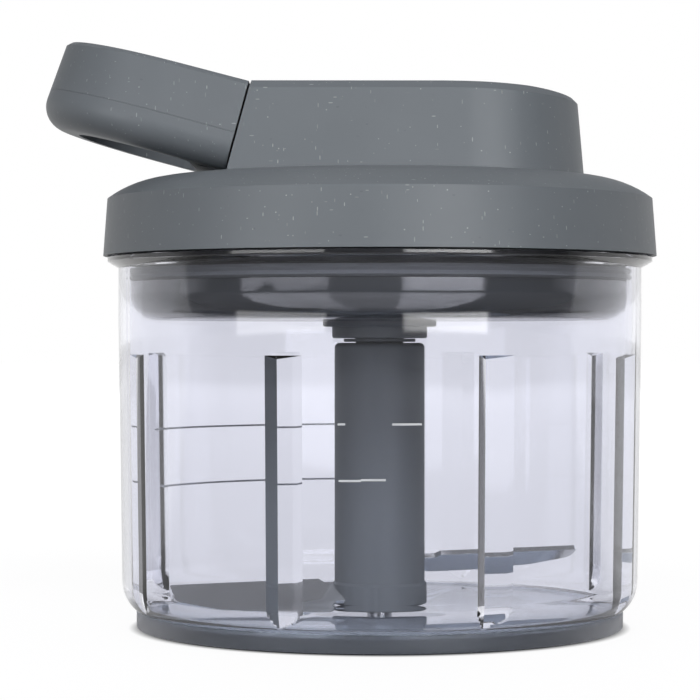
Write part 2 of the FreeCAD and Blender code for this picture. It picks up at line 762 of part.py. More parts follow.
def housing_form(label, inset, foot):
    """The raised housing: a drafted U outline, cut by the top curve and the seam."""
    body = new_body(label)
    half = S.housing_half - inset
    center = S.housing_center
    left = S.seam_x - 12
    outline = new_sketch(body, label + "_outline", "XY_Plane", S.housing_foot)
    draw_outline(outline, [
        (left, -half),
        (center, -half, {"bend": half, "turn": 1}),
        (center + half, 0, {"bend": half, "turn": 1}),
        (center, half),
        (left, half)])
    block = pad(body, label + "_block", outline, S.housing_top - S.housing_foot + 4)
    bind(block, "TaperAngle", -S.housing_draft)
    if foot.number < S.housing_foot.number:
        lower = new_sketch(body, label + "_lower_outline", "XY_Plane", foot)
        draw_outline(lower, [
            (left, -half),
            (center, -half, {"bend": half, "turn": 1}),
            (center + half, 0, {"bend": half, "turn": 1}),
            (center, half),
            (left, half)])
        pad(body, label + "_lower_block", lower, S.housing_foot - foot)
    lean = tangent(S.pull_tilt)
    top = S.housing_top - inset
    far = tip_x + 8
    run = tip_x - S.dip_start
    end_dip = S.housing_dip * (far - S.dip_start) * (far - S.dip_start) / (run * run)
    reach = far - S.dip_start
    bend = (reach * reach + end_dip * end_dip) / (2 * end_dip)
    above = new_sketch(body, label + "_top_cut", "XZ_Plane")
    draw_outline(above, [
        (left - 9, top),
        (S.dip_start, top, {"bend": bend, "turn": -1}),
        (far, top - end_dip),
        (far, top + 12),
        (left - 9, top + 12)])
    pocket(body, label + "_top", above, 3 * S.lid_radius, both_ways=True)
    seam = new_sketch(body, label + "_seam_cut", "XZ_Plane")
    wall_step = inset / cosine(S.pull_tilt)
    low, high = foot - 2, S.housing_top + 14
    draw_outline(seam, [
        (S.seam_x + wall_step + (low - S.seam_z) * lean, low),
        (S.seam_x + wall_step + (high - S.seam_z) * lean, high),
        (left - S.housing_half, high),
        (left - S.housing_half, low)])
    pocket(body, label + "_seam", seam, 3 * S.lid_radius, both_ways=True)
    return body


def lower_nose(body, label, inset):
    """Cuts the top away towards the round end, so that the band round it runs out."""
    run = (S.nose_start - S.dip_start) / (tip_x - S.dip_start)
    start = S.housing_top - inset - S.housing_dip * run * run
    nose = new_sketch(body, label + "_nose_cut", "XZ_Plane")
    draw_outline(nose, [
        (S.nose_start, start, {"bend": S.nose_bend, "turn": -1}),
        (tip_x, start - S.nose_drop),
        (tip_x + 9, start - S.nose_drop),
        (tip_x + 9, start + 9),
        (S.nose_start, start + 9)])
    pocket(body, label + "_nose", nose, 3 * S.lid_radius, both_ways=True)


def top_rim(limit):
    """A test for the edges that lie round a form's top."""

    def test(edge):
        box = edge.BoundBox
        along_seam = box.XLength < 1 and box.XMax < 0
        return box.ZMin > limit and not along_seam

    return test


def boss_places():
    x, y = S.post_boss_x, S.post_boss_y
    return [(sx * x, sy * y) for sx in (-1, 1) for sy in (-1, 1)]


def make_lid_cover():
    """Lid shell: skirt, dome and housing in one moulding, with its inner bosses."""
    outer_dome = dome_form("dome_outside", as_size(0), S.lid_bottom)
    outer_housing = housing_form("housing_outside", as_size(0), S.housing_foot)
    limit = S.housing_top.number - S.housing_dip.number - 1.2
    round_edges(outer_housing, "housing_crown", top_rim(limit), S.crown_edge, chamfer=True)
    lower_nose(outer_housing, "housing_outside", as_size(0))
    outside = fuse("lid_outside", [outer_dome, outer_housing])
    inner_dome = dome_form("dome_inside", S.lid_wall, S.lid_bottom + S.bead_height)
    inner_housing = housing_form("housing_inside", S.lid_wall, S.housing_foot - 6)
    lower_nose(inner_housing, "housing_inside", S.lid_wall)
    mouth = cylinder("lid_mouth", S.lid_radius - S.lid_wall - S.snap_bead, 4,
                     raised(0, 0, S.lid_bottom - 1))
    move_up(mouth, S.lid_bottom - 1)
    inside = fuse("lid_inside", [inner_dome, inner_housing, mouth])
    shell = cut("lid_shell", outside, inside)
    bosses = []
    boss_reach = S.post_boss_x * S.post_boss_x + S.post_boss_y * S.post_boss_y
    dome_there = dome_top - boss_reach / (2 * crown_bend(S.shoulder_radius - S.brow_width))
    boss_height = dome_there - S.lid_wall / 2 - S.plate_top
    for i, (x, y) in enumerate(boss_places(), start=1):
        boss = cylinder("plate_boss_%d" % i, S.post_boss_radius, boss_height,
                        raised(x, y, S.plate_top))
        bosses.append(move_up(boss, S.plate_top))
    post_boss_low = drum_top + S.cover_thick + 0.5
    crown_boss = cylinder("post_boss", S.post_radius + 3, S.housing_top - 1 - post_boss_low,
                          raised(0, 0, post_boss_low))
    bosses.append(move_up(crown_boss, post_boss_low))
    solid = fuse("lid_with_bosses", [shell] + bosses)
    holes = []
    for i, (x, y) in enumerate(boss_places(), start=1):
        hole = cylinder("boss_hole_%d" % i, S.screw_radius, S.screw_length - S.plate_thick,
                        raised(x, y, S.plate_top))
        holes.append(move_up(hole, S.plate_top))
    post_top = S.housing_top - S.lid_wall - 0.5
    post_hole = cylinder("post_hole", S.post_radius, post_top - post_boss_low + 1,
                         raised(0, 0, post_boss_low - 1))
    holes.append(move_up(post_hole, post_boss_low - 1))
    guide_hole = cylinder("guide_hole", S.guide_radius, S.guide_length + 4,
                          on_pull(-S.guide_length.number - 2, S.cord_offset.number))
    holes.append(guide_hole)
    return cut("lid_cover", solid, fuse("lid_holes", holes))


def on_pull(u, w, v=0.0):
    """A place in the handle's frame, with Z turned to run along the pull."""
    along = Placement(Vector(u, v, w), Rotation(Vector(0, 1, 0), 90))
    return pull_frame.multiply(along)


def in_pull(u, w, v=0.0):
    """A place in the handle's frame, with Z square to the pull."""
    return pull_frame.multiply(Placement(Vector(u, v, w), Rotation()))


def make_lid_base():
    """Plug: a cup with hub and flange that closes the mechanism off from the food."""
    body = new_body("lid_base")
    inside = S.plug_radius - S.plug_wall
    seal_top = S.seal_bottom + S.seal_height
    groove_radius = S.plug_radius - S.seal_depth
    flange_low = S.lid_bottom + S.bead_height + 0.05
    flange_top = flange_low + S.flange_thick
    flange_radius = S.lid_radius - S.lid_wall - S.flange_gap
    neck_radius = S.lid_radius - S.lid_wall - S.snap_bead - 0.3
    seal_seat = S.hub_top - S.seal_ring_height
    bush_foot = S.hub_foot + 1.2
    revolve(body, "plug_form", [
        (S.shaft_radius + 0.3, S.hub_foot),
        (S.hub_radius, S.hub_foot, {"round": 0.6}),
        (S.hub_radius, S.hub_step_foot),
        (S.hub_step_radius, S.hub_step_foot, {"round": 0.5}),
        (S.hub_step_radius, S.plug_bottom),
        (S.plug_radius, S.plug_bottom, {"round": S.plug_corner}),
        (S.plug_radius, S.seal_bottom),
        (groove_radius, S.seal_bottom),
        (groove_radius, seal_top),
        (S.plug_radius, seal_top + 0.8),
        (S.plug_radius, S.lid_bottom),
        (neck_radius, S.lid_bottom),
        (neck_radius, flange_low),
        (flange_radius, flange_low),
        (flange_radius, flange_top),
        (inside, flange_top),
        (inside, S.plug_bottom + S.plug_wall, {"round": S.plug_corner - S.plug_wall}),
        (S.hub_radius, S.plug_bottom + S.plug_wall),
        (S.hub_radius, S.hub_top),
        (hub_bore + 0.6, S.hub_top),
        (hub_bore + 0.6, seal_seat),
        (hub_bore, seal_seat),
        (hub_bore, bush_foot),
        (S.shaft_radius + 0.3, bush_foot)])
    return body


def make_lid_seal():
    """Seal ring with two lips, in the plug's groove."""
    body = new_body("lid_seal")
    low, high = S.seal_bottom + 0.1, S.seal_bottom + S.seal_height - 0.1
    back = S.plug_radius - S.seal_depth
    lip = bowl_inside - S.seal_clear
    middle = (low + high) / 2
    revolve(body, "seal_form", [
        (back, low),
        (S.plug_radius - 0.2, low),
        (lip, low + 0.7),
        (S.plug_radius, middle),
        (lip, high - 0.7),
        (S.plug_radius - 0.2, high),
        (back, high)])
    return body


def make_bearing_plate():
    """Plate under the bosses that carries the upper bush, with stiffening rings."""
    body = new_body("bearing_plate")
    plate = new_sketch(body, "plate_outline", "XY_Plane", plate_bottom)
    draw_circle(plate, 0, 0, S.plate_radius)
    draw_circle(plate, 0, 0, hub_bore)
    pad(body, "plate_disc", plate, S.plate_thick)
    revolve(body, "bush_boss", ring(hub_bore, hub_bore + 2.4,
                                    S.plate_top - S.bush_length, plate_bottom + 0.5))
    revolve(body, "edge_ring", ring(S.plate_radius - 1.6, S.plate_radius,
                                    plate_bottom - 2.4, plate_bottom + 0.5))
    holes = new_sketch(body, "plate_holes", "XY_Plane", S.plate_top)
    for x, y in boss_places():
        draw_circle(holes, x, y, S.screw_radius + 0.1)
    pocket(body, "screw_holes", holes, S.plate_thick + 1)
    windows = new_sketch(body, "window_outline", "XY_Plane", S.plate_top)
    draw_circle(windows, S.plate_radius * 0.55, 0, S.plate_radius * 0.15)
    window = pocket(body, "window", windows, S.plate_thick + 1)
    doc.recompute()
    polar(body, "window_ring", window, as_size(6))
    return body


def screw(label, place, thread, length, head_radius, head):
    """A plain screw: head below, thread upwards along its own Z."""
    shank = cylinder(label + "_thread", thread, length, place)
    below = place.multiply(Placement(Vector(0, 0, -head.number), Rotation()))
    cap = cylinder(label + "_head", head_radius, head, below)
    return [shank, cap]


def make_plate_screws():
    screws = []
    for i, (x, y) in enumerate(boss_places(), start=1):
        place = raised(x, y, plate_bottom)
        pieces = screw("plate_screw_%d" % i, place, S.screw_radius, S.screw_length,
                       S.screw_head_radius, S.screw_head)
        move_up(pieces[0], plate_bottom)
        move_up(pieces[1], plate_bottom - S.screw_head)
        screws.append(fuse("plate_screw_%d" % i, pieces))
    group = doc.addObject("Part::Compound", "plate_screws")
    group.Links = screws
    return group


def make_bush(label, low):
    body = new_body(label)
    revolve(body, label + "_form", ring(S.shaft_radius + S.running_clear, hub_bore,
                                        low, low + S.bush_length))
    return body


def make_shaft_seal():
    body = new_body("shaft_seal")
    low = S.hub_top - S.seal_ring_height + 0.1
    revolve(body, "shaft_seal_form", [
        (S.shaft_radius + 0.9, low),
        (hub_bore + 0.6, low),
        (hub_bore + 0.6, S.hub_top),
        (S.shaft_radius + S.running_clear, S.hub_top),
        (S.shaft_radius + S.running_clear, S.hub_top - 0.7)])
    return body


def make_center_post():
    body = new_body("center_post")
    top = S.housing_top - S.lid_wall - 0.5
    revolve(body, "post_form", [
        (0, S.post_foot),
        (S.post_radius - 0.5, S.post_foot),
        (S.post_radius, S.post_foot + 0.5),
        (S.post_radius, top),
        (0, top)])
    return body


def make_cord_guide():
    """Smooth flared bush in the seam wall that the cord runs through."""
    body = new_body("cord_guide")
    length = S.guide_length
    revolve(body, "guide_form", [
        (S.guide_bore, 0.6),
        (S.guide_bore + 0.8, 0),
        (S.guide_radius, 0),
        (S.guide_radius, length),
        (S.guide_bore + 1.4, length),
        (S.guide_bore, length - 2)])
    body.Placement = on_pull(-0.1, S.cord_offset.number).multiply(
        Placement(Vector(0, 0, 0), Rotation(Vector(1, 0, 0), 180)))
    return body


# ---------------------------------------------------------------------------
# Drive shaft, dog and pawls
# ---------------------------------------------------------------------------


def pawl_angles():
    return (90, 270)


def pivot_place(angle, height):
    """Place of a pawl's pin: X points away from the axis."""
    turn = Rotation(Vector(0, 0, 1), angle)
    return Placement(turn.multVec(Vector(S.pawl_pivot.number, 0, height)), turn)


def make_drive_shaft():
    body = new_body("drive_shaft")
    disc_low = S.disc_top - S.disc_thick
    pilot = S.post_radius + S.running_clear
    thread = S.screw_radius
    revolve(body, "shaft_form", [
        (thread, S.shaft_foot),
        (S.shaft_radius, S.shaft_foot),
        (S.shaft_radius, S.plate_top + 0.4),
        (S.shaft_radius + 3, S.plate_top + 0.4),
        (S.shaft_radius + 3, disc_low),
        (S.disc_radius, disc_low),
        (S.disc_radius, S.disc_top),
        (pilot, S.disc_top),
        (pilot, S.post_foot - 0.5),
        (0, S.post_foot - 0.5),
        (0, S.shaft_foot + 9),
        (thread, S.shaft_foot + 9)])
    return body


def make_drive_dog():
    """Coupling under the hub: round neck, and a hexagon that enters the column."""
    body = new_body("drive_dog")
    neck_low = S.column_top + S.dog_lift
    head_room = S.screw_head_radius + 0.1
    revolve(body, "neck", [
        (S.screw_radius, neck_low),
        (S.neck_radius, neck_low),
        (S.neck_radius, neck_low + S.neck_height),
        (S.shaft_radius - 0.1, neck_low + S.neck_height),
        (S.shaft_radius - 0.1, S.shaft_foot),
        (S.screw_radius, S.shaft_foot)])
    outline = new_sketch(body, "dog_outline", "XY_Plane", dog_foot)
    hexagon(outline, S.hex_width)
    pad(body, "dog_hexagon", outline, neck_low - dog_foot + 0.2)
    for name, radius, depth in (("screw_bore", S.screw_radius, S.hex_length + 6),
                                ("head_bore", head_room, S.screw_head + 0.6)):
        sketch = new_sketch(body, name + "_outline", "XY_Plane", dog_foot)
        draw_circle(sketch, 0, 0, radius)
        pocket(body, name, sketch, depth, reverse=True)
    return body


def make_dog_screw():
    head_seat = dog_foot + S.screw_head + 0.6
    pieces = screw("dog_screw_part", raised(0, 0, head_seat), S.screw_radius,
                   S.shaft_foot + 8 - head_seat, S.screw_head_radius, S.screw_head)
    move_up(pieces[0], head_seat)
    move_up(pieces[1], head_seat - S.screw_head)
    return fuse("dog_screw", pieces)


def make_pawl_pins():
    pins = []
    for i, angle in enumerate(pawl_angles(), start=1):
        pin = cylinder("pawl_pin_%d" % i, S.pawl_pin_radius, S.pawl_height + S.pawl_gap,
                       pivot_place(angle, S.disc_top.number))
        pins.append(move_up(pin, S.disc_top))
    group = doc.addObject("Part::Compound", "pawl_pins")
    group.Links = pins
    return group


def make_pawl(label, angle):
    """A pawl: round end on its pin and a finger that reaches back to the teeth."""
    body = new_body(label)
    outline = new_sketch(body, label + "_outline")
    hub, reach = S.pawl_hub, S.pawl_reach
    draw_outline(outline, [
        (-hub, 0, {"bend": hub, "turn": -1}),
        (0, hub, {"bend": hub, "turn": -1}),
        (hub, 0),
        (hub - 0.25, -reach * 0.72),
        (hub - 0.35, -reach),
        (hub - 1.5, -reach),
        (-hub * 0.5, -reach * 0.4)])
    pad(body, label + "_finger", outline, S.pawl_height)
    bore = new_sketch(body, label + "_bore_outline", "XY_Plane", S.pawl_height)
    draw_circle(bore, 0, 0, S.pawl_pin_radius + S.running_clear)
    pocket(body, label + "_bore", bore, S.pawl_height + 1)
    body.Placement = pivot_place(angle, pawl_foot.number)
    return body


# ---------------------------------------------------------------------------
# Drum, spring and cord
# ---------------------------------------------------------------------------


def make_cord_drum():
    """Drum: ratchet ring below the web, spring cup above it, cord groove outside."""
    body = new_body("cord_drum")
    bore = S.post_radius + S.running_clear
    ratchet_outside = S.tooth_root + S.ratchet_wall
    revolve(body, "drum_form", [
        (bore, pawl_foot),
        (bore + 2.2, pawl_foot),
        (bore + 2.2, web_bottom),
        (S.tooth_tip, web_bottom),
        (S.tooth_tip, pawl_foot),
        (ratchet_outside, pawl_foot),
        (ratchet_outside, winding_low - S.drum_flange_thick),
        (S.drum_flange, winding_low - S.drum_flange_thick),
        (S.drum_flange, winding_low),
        (S.drum_core, winding_low),
        (S.drum_core, winding_high),
        (S.drum_flange, winding_high),
        (S.drum_flange, drum_top),
        (spring_room, drum_top),
        (spring_room, web_top),
        (bore, web_top)])
    valley = new_sketch(body, "tooth_gap_outline", "XY_Plane", pawl_foot)
    ramp = 360 * S.ramp_share / S.tooth_count
    draw_outline(valley, [
        (S.tooth_tip - 0.5, 0),
        (S.tooth_root, 0),
        (S.tooth_tip * cosine(ramp), S.tooth_tip * sine(ramp))])
    gap = pocket(body, "tooth_gap", valley, S.pawl_height, reverse=True)
    doc.recompute()
    polar(body, "teeth", gap, S.tooth_count)
    first_face = pawl_angles()[0] - S.pawl_seat.number
    body.Placement.Rotation = Rotation(Vector(0, 0, 1), first_face)
    return body


def make_spring_cover():
    body = new_body("spring_cover")
    revolve(body, "cover_form", ring(S.post_radius + 1.5, S.drum_flange - 0.6,
                                     drum_top, drum_top + S.cover_thick))
    return body


def make_cord_on_drum():
    """The turns of cord on the drum at rest, as one closed ring with a hump a turn."""
    body = new_body("cord_on_drum")
    turns = int(round(S.cord_turns.number))
    step = 2 * S.cord_radius
    low = S.cord_height - step * turns / 2
    middle_radius = S.drum_core + S.cord_radius
    corners = [(S.drum_core, low)]
    for i in range(turns):
        corners.append((middle_radius, low + step * i, {"bend": S.cord_radius * 1.05, "turn": 1}))
    corners.append((middle_radius, low + step * turns))
    corners.append((S.drum_core, low + step * turns))
    revolve(body, "winding", corners)
    return body


def make_spiral_spring():
    """Recoil strip: a flat spiral drawn as half circles about two centres in turn."""
    inner = S.post_radius.number + S.spring_gap.number
    outer = spring_room.number - S.spring_gap.number
    step = S.spring_pitch.number / 2
    strip = S.spring_strip.number
    low = web_top.number + S.spring_gap.number

    def half_turns(radius):
        """Half circles that swap between two centres, one step apart."""
        edges, center, side = [], 0.0, 1
        while radius + center + strip < outer:
            left = Vector(center - radius, 0, low)
            right = Vector(center + radius, 0, low)
            top = Vector(center, side * radius, low)
            ends = (right, left) if side > 0 else (left, right)
            edges.append(Part.Arc(ends[0], top, ends[1]).toShape())
            center = step - center
            radius += step
            side = -side
        return edges

    inside = half_turns(inner)
    outside = []
    for edge in inside:
        circle = edge.Curve
        radius = circle.Radius + strip
        middle = edge.valueAt((edge.FirstParameter + edge.LastParameter) / 2)
        away = (middle - circle.Center).normalize()
        along = (edge.valueAt(edge.FirstParameter) - circle.Center).normalize()
        first, last = circle.Center + along * radius, circle.Center - along * radius
        outside.append(Part.Arc(first, circle.Center + away * radius, last).toShape())
    start = Part.makeLine(inside[0].firstVertex(True).Point, outside[0].firstVertex(True).Point)
    end = Part.makeLine(inside[-1].lastVertex(True).Point, outside[-1].lastVertex(True).Point)
    wire = Part.Wire(Part.__sortEdges__(inside + outside + [start, end]))
    spring = doc.addObject("Part::Feature", "spiral_spring")
    spring.Shape = Part.Face(wire).extrude(Vector(0, 0, S.spring_width.number))
    return spring


def cord_piece(label, start, end):
    """A straight run of cord between two points, as one plain cylinder."""
    run = end - start
    turn = Rotation(Vector(0, 0, 1), run)
    feature = doc.addObject("Part::Cylinder", label)
    bind(feature, "Radius", S.cord_radius)
    feature.Height = run.Length
    feature.Placement = Placement(start, turn)
    return feature


def make_cord_lead():
    """The stretch inside the housing, from the drum to the mouth of the guide."""
    depth = S.guide_length.number + 0.5
    mouth = pull_frame.multVec(Vector(-depth, 0, S.cord_offset.number))
    radius = S.drum_core.number + S.cord_radius.number
    distance = math.hypot(mouth.x, mouth.y)
    angle = math.pi - math.acos(radius / distance)
    touch = Vector(radius * math.cos(angle), radius * math.sin(angle), S.cord_height.number)
    wound = radius + S.cord_radius.number
    clear = math.sqrt((wound + S.cord_radius.number + 0.4) ** 2 - radius ** 2)
    along = (mouth - touch).normalize()
    return cord_piece("cord_lead", touch + along * clear, mouth)


def make_pull_cord():
    """The stretch that leaves with the handle, from the guide to the stop."""
    start = pull_frame.multVec(Vector(-S.guide_length.number + 2, 0, S.cord_offset.number))
    length = S.seam_gap.number + S.handle_wall.number + S.stop_length.number + 0.4
    end = pull_frame.multVec(Vector(length, 0, S.cord_offset.number))
    return cord_piece("pull_cord", start, end)


# ---------------------------------------------------------------------------
# Handle
# ---------------------------------------------------------------------------


def handle_form(label, inset, with_round):
    """The finger loop in its own frame, or its hollow where inset is the wall."""
    body = new_body(label)
    half = S.handle_half - inset
    center = S.handle_length - S.handle_half
    near = S.seam_gap + inset
    outline = new_sketch(body, label + "_outline")
    draw_outline(outline, [
        (-12, -half),
        (center, -half, {"bend": half, "turn": 1}),
        (center + half, 0, {"bend": half, "turn": 1}),
        (center, half),
        (-12, half)])
    block = pad(body, label + "_block", outline, S.handle_height + 3)
    bind(block, "TaperAngle", -S.handle_draft)
    face = new_sketch(body, label + "_face_cut", "XZ_Plane")
    draw_outline(face, [
        (-S.band, -S.band), (near, -S.band), (near, 2 * S.handle_height),
        (-S.band, 2 * S.handle_height)])
    pocket(body, label + "_face", face, 5 * S.handle_half, both_ways=True)
    side = new_sketch(body, label + "_side_cut", "XZ_Plane")
    top = S.handle_height - inset
    draw_outline(side, [
        (-9, top),
        (S.seam_gap, top),
        (S.handle_length, top - S.handle_drop),
        (S.handle_length + 9, top - S.handle_drop),
        (S.handle_length + 9, top + 15),
        (-9, top + 15)])
    pocket(body, label + "_top", side, 5 * S.handle_half, both_ways=True)
    if inset.number > 0:
        foot = new_sketch(body, label + "_foot_cut", "XZ_Plane")
        draw_outline(foot, [
            (-9, -5), (S.handle_length + 9, -5), (S.handle_length + 9, inset), (-9, inset)])
        pocket(body, label + "_foot", foot, 5 * S.handle_half, both_ways=True)
    if with_round:
        def under(edge):
            box = edge.BoundBox
            return box.ZMax < 0.01 and box.XMax > S.seam_gap.number + 3

        def over(edge):
            box = edge.BoundBox
            high = S.handle_height.number - S.handle_drop.number - 0.5
            return box.ZMin > high and box.XMax > S.seam_gap.number + 3

        round_edges(body, label + "_under", under, S.handle_round)
        round_edges(body, label + "_crown", over, S.handle_edge, chamfer=True)
    return body


def opening_form(label, inset):
    """The finger opening, grown by inset where it bounds the hollow."""
    body = new_body(label)
    half = S.handle_half - S.band + inset
    center = S.handle_length - S.handle_half
    near = S.seam_gap + S.cross_bar - inset
    outline = new_sketch(body, label + "_outline", "XY_Plane", -5)
    draw_outline(outline, [
        (near, -half, {"round": S.opening_corner}),
        (center, -half, {"bend": half, "turn": 1}),
        (center + half, 0, {"bend": half, "turn": 1}),
        (center, half),
        (near, half, {"round": S.opening_corner})])
    pad(body, label + "_block", outline, S.handle_height + 10)
    return body


def half_space(label, low, high):
    box = doc.addObject("Part::Box", label)
    bind(box, "Length", S.handle_length + 20)
    bind(box, "Width", 2 * S.handle_half + 20)
    bind(box, "Height", high - low)
    box.Placement.Base = Vector(-10, -S.handle_half.number - 10, low.number)
    bind(box, "Placement.Base.z", low)
    return box


def screw_spots():
    """Places of the handle's screws: in the bar beside the seam, right and left."""
    along = S.seam_gap + S.cross_bar / 2
    return [(along, side * S.handle_half / 2) for side in (-1, 1)]


def local_cylinder(label, radius, u, v, low, high):
    feature = cylinder(label, radius, high - low, raised(u, v, low))
    return move_up(feature, low)


def make_handle_shells():
    """Upper and lower shells, parted along a line, with the screw bosses inside."""
    outside = handle_form("handle_outside", as_size(0), True)
    hollow = handle_form("handle_hollow", S.handle_wall, False)
    opening = opening_form("finger_opening", as_size(0))
    keep = opening_form("finger_wall", S.handle_wall)
    loop = cut("handle_loop", outside, opening)
    channel = cut("handle_channel", hollow, keep)
    head_seat = S.handle_wall + S.screw_head
    bosses = []
    holes = []
    for i, (u, v) in enumerate(screw_spots(), start=1):
        bosses.append(local_cylinder("handle_boss_%d" % i, S.screw_head_radius + 1.3, u, v,
                                     S.handle_wall, S.handle_height - S.handle_drop - 2))
        holes.append(local_cylinder("handle_bore_%d" % i, S.screw_radius, u, v,
                                    head_seat, head_seat + S.handle_screw_rise))
        holes.append(local_cylinder("handle_counterbore_%d" % i, S.screw_head_radius + 0.1,
                                    u, v, as_size(-1), head_seat))
    shell = cut("handle_shell", loop, channel)
    held = common("handle_bosses", [loop, fuse("boss_pair", bosses)])
    cord_way = doc.addObject("Part::Cylinder", "handle_cord_way")
    bind(cord_way, "Radius", S.cord_radius + 0.15)
    bind(cord_way, "Height", S.seam_gap + S.handle_wall + 2)
    cord_way.Placement = Placement(Vector(-1, 0, S.cord_offset.number),
                                   Rotation(Vector(0, 1, 0), 90))
    whole = cut("handle_whole", fuse("handle_with_bosses", [shell, held]),
                fuse("handle_holes", holes + [cord_way]))
    upper = common("handle_upper", [whole, half_space(
        "upper_half", S.parting + S.parting_gap / 2, S.handle_height + 5)])
    lower = common("handle_low_form", [whole, half_space(
        "lower_half", as_size(-5), S.parting - S.parting_gap / 2)])
    for shell_half in (upper, lower):
        shell_half.Placement = pull_frame
    dome = dome_form("handle_dome_room", -S.dome_clear, S.lid_bottom)
    return upper, cut("handle_lower", lower, dome)


def make_handle_screws():
    screws = []
    seat = S.handle_wall + S.screw_head
    for i, (u, v) in enumerate(screw_spots(), start=1):
        pieces = screw("handle_screw_%d" % i, in_pull(u.number, seat.number, v.number),
                       S.screw_radius, S.handle_screw_rise - 0.3, S.screw_head_radius, S.screw_head)
        screws.append(fuse("handle_screw_%d" % i, pieces))
    group = doc.addObject("Part::Compound", "handle_screws")
    group.Links = screws
    return group


def make_cord_stop():
    """Crimped stop that the handle pulls the cord by."""
    body = new_body("cord_stop")
    revolve(body, "stop_form", [
        (S.cord_radius, 0),
        (S.stop_radius - 0.6, 0),
        (S.stop_radius, 0.6),
        (S.stop_radius, S.stop_length - 0.6),
        (S.stop_radius - 0.6, S.stop_length),
        (S.cord_radius, S.stop_length)])
    body.Placement = on_pull(S.seam_gap.number + S.handle_wall.number + 0.1,
                             S.cord_offset.number)
    return body


# ---------------------------------------------------------------------------
# The assembly
# ---------------------------------------------------------------------------


def build():
    shaft, lower_blade, upper_blade = make_blade_unit()
    handle_upper, handle_lower = make_handle_shells()
    return [
        make_bowl(), make_base_pad(), make_pivot_pin(),
        shaft, lower_blade, upper_blade,
        make_lid_cover(), make_lid_base(), make_lid_seal(),
        make_bearing_plate(), make_plate_screws(),
        make_bush("upper_bush", S.plate_top - S.bush_length),
        make_bush("lower_bush", S.hub_foot + 1.2),
        make_shaft_seal(), make_center_post(), make_cord_guide(),
        make_drive_shaft(), make_drive_dog(), make_dog_screw(), make_pawl_pins(),
        make_pawl("front_pawl", pawl_angles()[1]), make_pawl("rear_pawl", pawl_angles()[0]),
        make_cord_drum(), make_spring_cover(), make_cord_on_drum(), make_spiral_spring(),
        make_cord_lead(), make_pull_cord(),
        handle_upper, handle_lower, make_handle_screws(), make_cord_stop()]


def check_document():
    for item in doc.Objects:
        bad = [word for word in item.State if word in ("Invalid", "Error")]
        if bad:
            raise RuntimeError("%s is %s" % (item.Name, ", ".join(bad)))


def check_shape(node):
    shape = node.Shape
    if shape.isNull() or not shape.Solids or not shape.isValid():
        raise RuntimeError("%s has no valid solid" % node.Label)


nodes = build()
doc.recompute()
check_document()
for node in nodes:
    check_shape(node)
os.makedirs("parts", exist_ok=True)
for node in nodes:
    node.Shape.exportStep("parts/%s.step" % node.Label)
    print("%-16s %3d solids %10.1f mm3" % (node.Label, len(node.Shape.Solids), node.Shape.Volume))
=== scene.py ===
# %% [markdown]
# # A pull-cord food chopper, dressed for the studio
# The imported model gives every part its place. This lesson gives the parts their
# finishes, rebuilds the ones whose looks need finer meshes, and lights them on a
# pale floor. Blender's lengths are metres, in the model's own frame: +Z is up along
# the axis of the bowl, and the finger-loop handle points towards -X. Sizes that read
# better in millimetres are multiplied by MM.

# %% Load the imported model
import math

import bmesh
import bpy
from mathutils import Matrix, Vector


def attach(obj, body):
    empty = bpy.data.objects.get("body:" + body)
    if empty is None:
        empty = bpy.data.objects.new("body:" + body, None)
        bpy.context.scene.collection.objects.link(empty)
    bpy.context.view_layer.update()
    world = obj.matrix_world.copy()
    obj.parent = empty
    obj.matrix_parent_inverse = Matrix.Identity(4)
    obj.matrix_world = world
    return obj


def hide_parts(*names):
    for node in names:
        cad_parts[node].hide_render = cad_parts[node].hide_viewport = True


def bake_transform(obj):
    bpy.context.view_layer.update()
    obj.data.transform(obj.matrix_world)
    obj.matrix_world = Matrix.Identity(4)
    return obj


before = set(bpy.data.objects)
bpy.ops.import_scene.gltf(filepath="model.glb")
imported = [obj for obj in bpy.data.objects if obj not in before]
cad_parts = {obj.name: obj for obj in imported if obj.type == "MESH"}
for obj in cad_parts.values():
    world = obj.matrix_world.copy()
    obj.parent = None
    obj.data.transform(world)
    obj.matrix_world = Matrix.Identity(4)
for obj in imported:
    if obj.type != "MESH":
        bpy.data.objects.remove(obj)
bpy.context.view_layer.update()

MM = 0.001

# %% [markdown]
# ## Nodes written as sums
# Shaders and Geometry Nodes are both trees of nodes. Wiring them by hand hides the
# idea, so one small class wraps a socket and takes part in Python sums. Any node
# that isn't a sum comes from one method, `add`, which sets its settings first and
# its sockets after them.

# %% A socket that can be used in a sum


class Wire:
    """An output socket that adds a Math node for each operator."""

    def __init__(self, graph, socket):
        self.graph = graph
        self.socket = socket

    def sum(self, operation, *values):
        return self.graph.add("ShaderNodeMath", {"operation": operation}, values)[0]

    def __add__(self, other):
        return self.sum("ADD", self, other)

    def __radd__(self, other):
        return self.sum("ADD", other, self)

    def __sub__(self, other):
        return self.sum("SUBTRACT", self, other)

    def __rsub__(self, other):
        return self.sum("SUBTRACT", other, self)

    def __mul__(self, other):
        return self.sum("MULTIPLY", self, other)

    def __rmul__(self, other):
        return self.sum("MULTIPLY", other, self)

    def __truediv__(self, other):
        return self.sum("DIVIDE", self, other)

    def __rtruediv__(self, other):
        return self.sum("DIVIDE", other, self)

    def __gt__(self, other):
        return self.sum("GREATER_THAN", self, other)

    def __lt__(self, other):
        return self.sum("LESS_THAN", self, other)

    def least(self, other):
        return self.sum("MINIMUM", self, other)

    def most(self, other):
        return self.sum("MAXIMUM", self, other)

    def is_near(self, other, within=0.5):
        return self.sum("COMPARE", self, other, within)

    def floor(self):
        return self.sum("FLOOR", self)

    def sin(self):
        return self.sum("SINE", self)

    def cos(self):
        return self.sum("COSINE", self)

    def power(self, other):
        return self.sum("POWER", self, other)


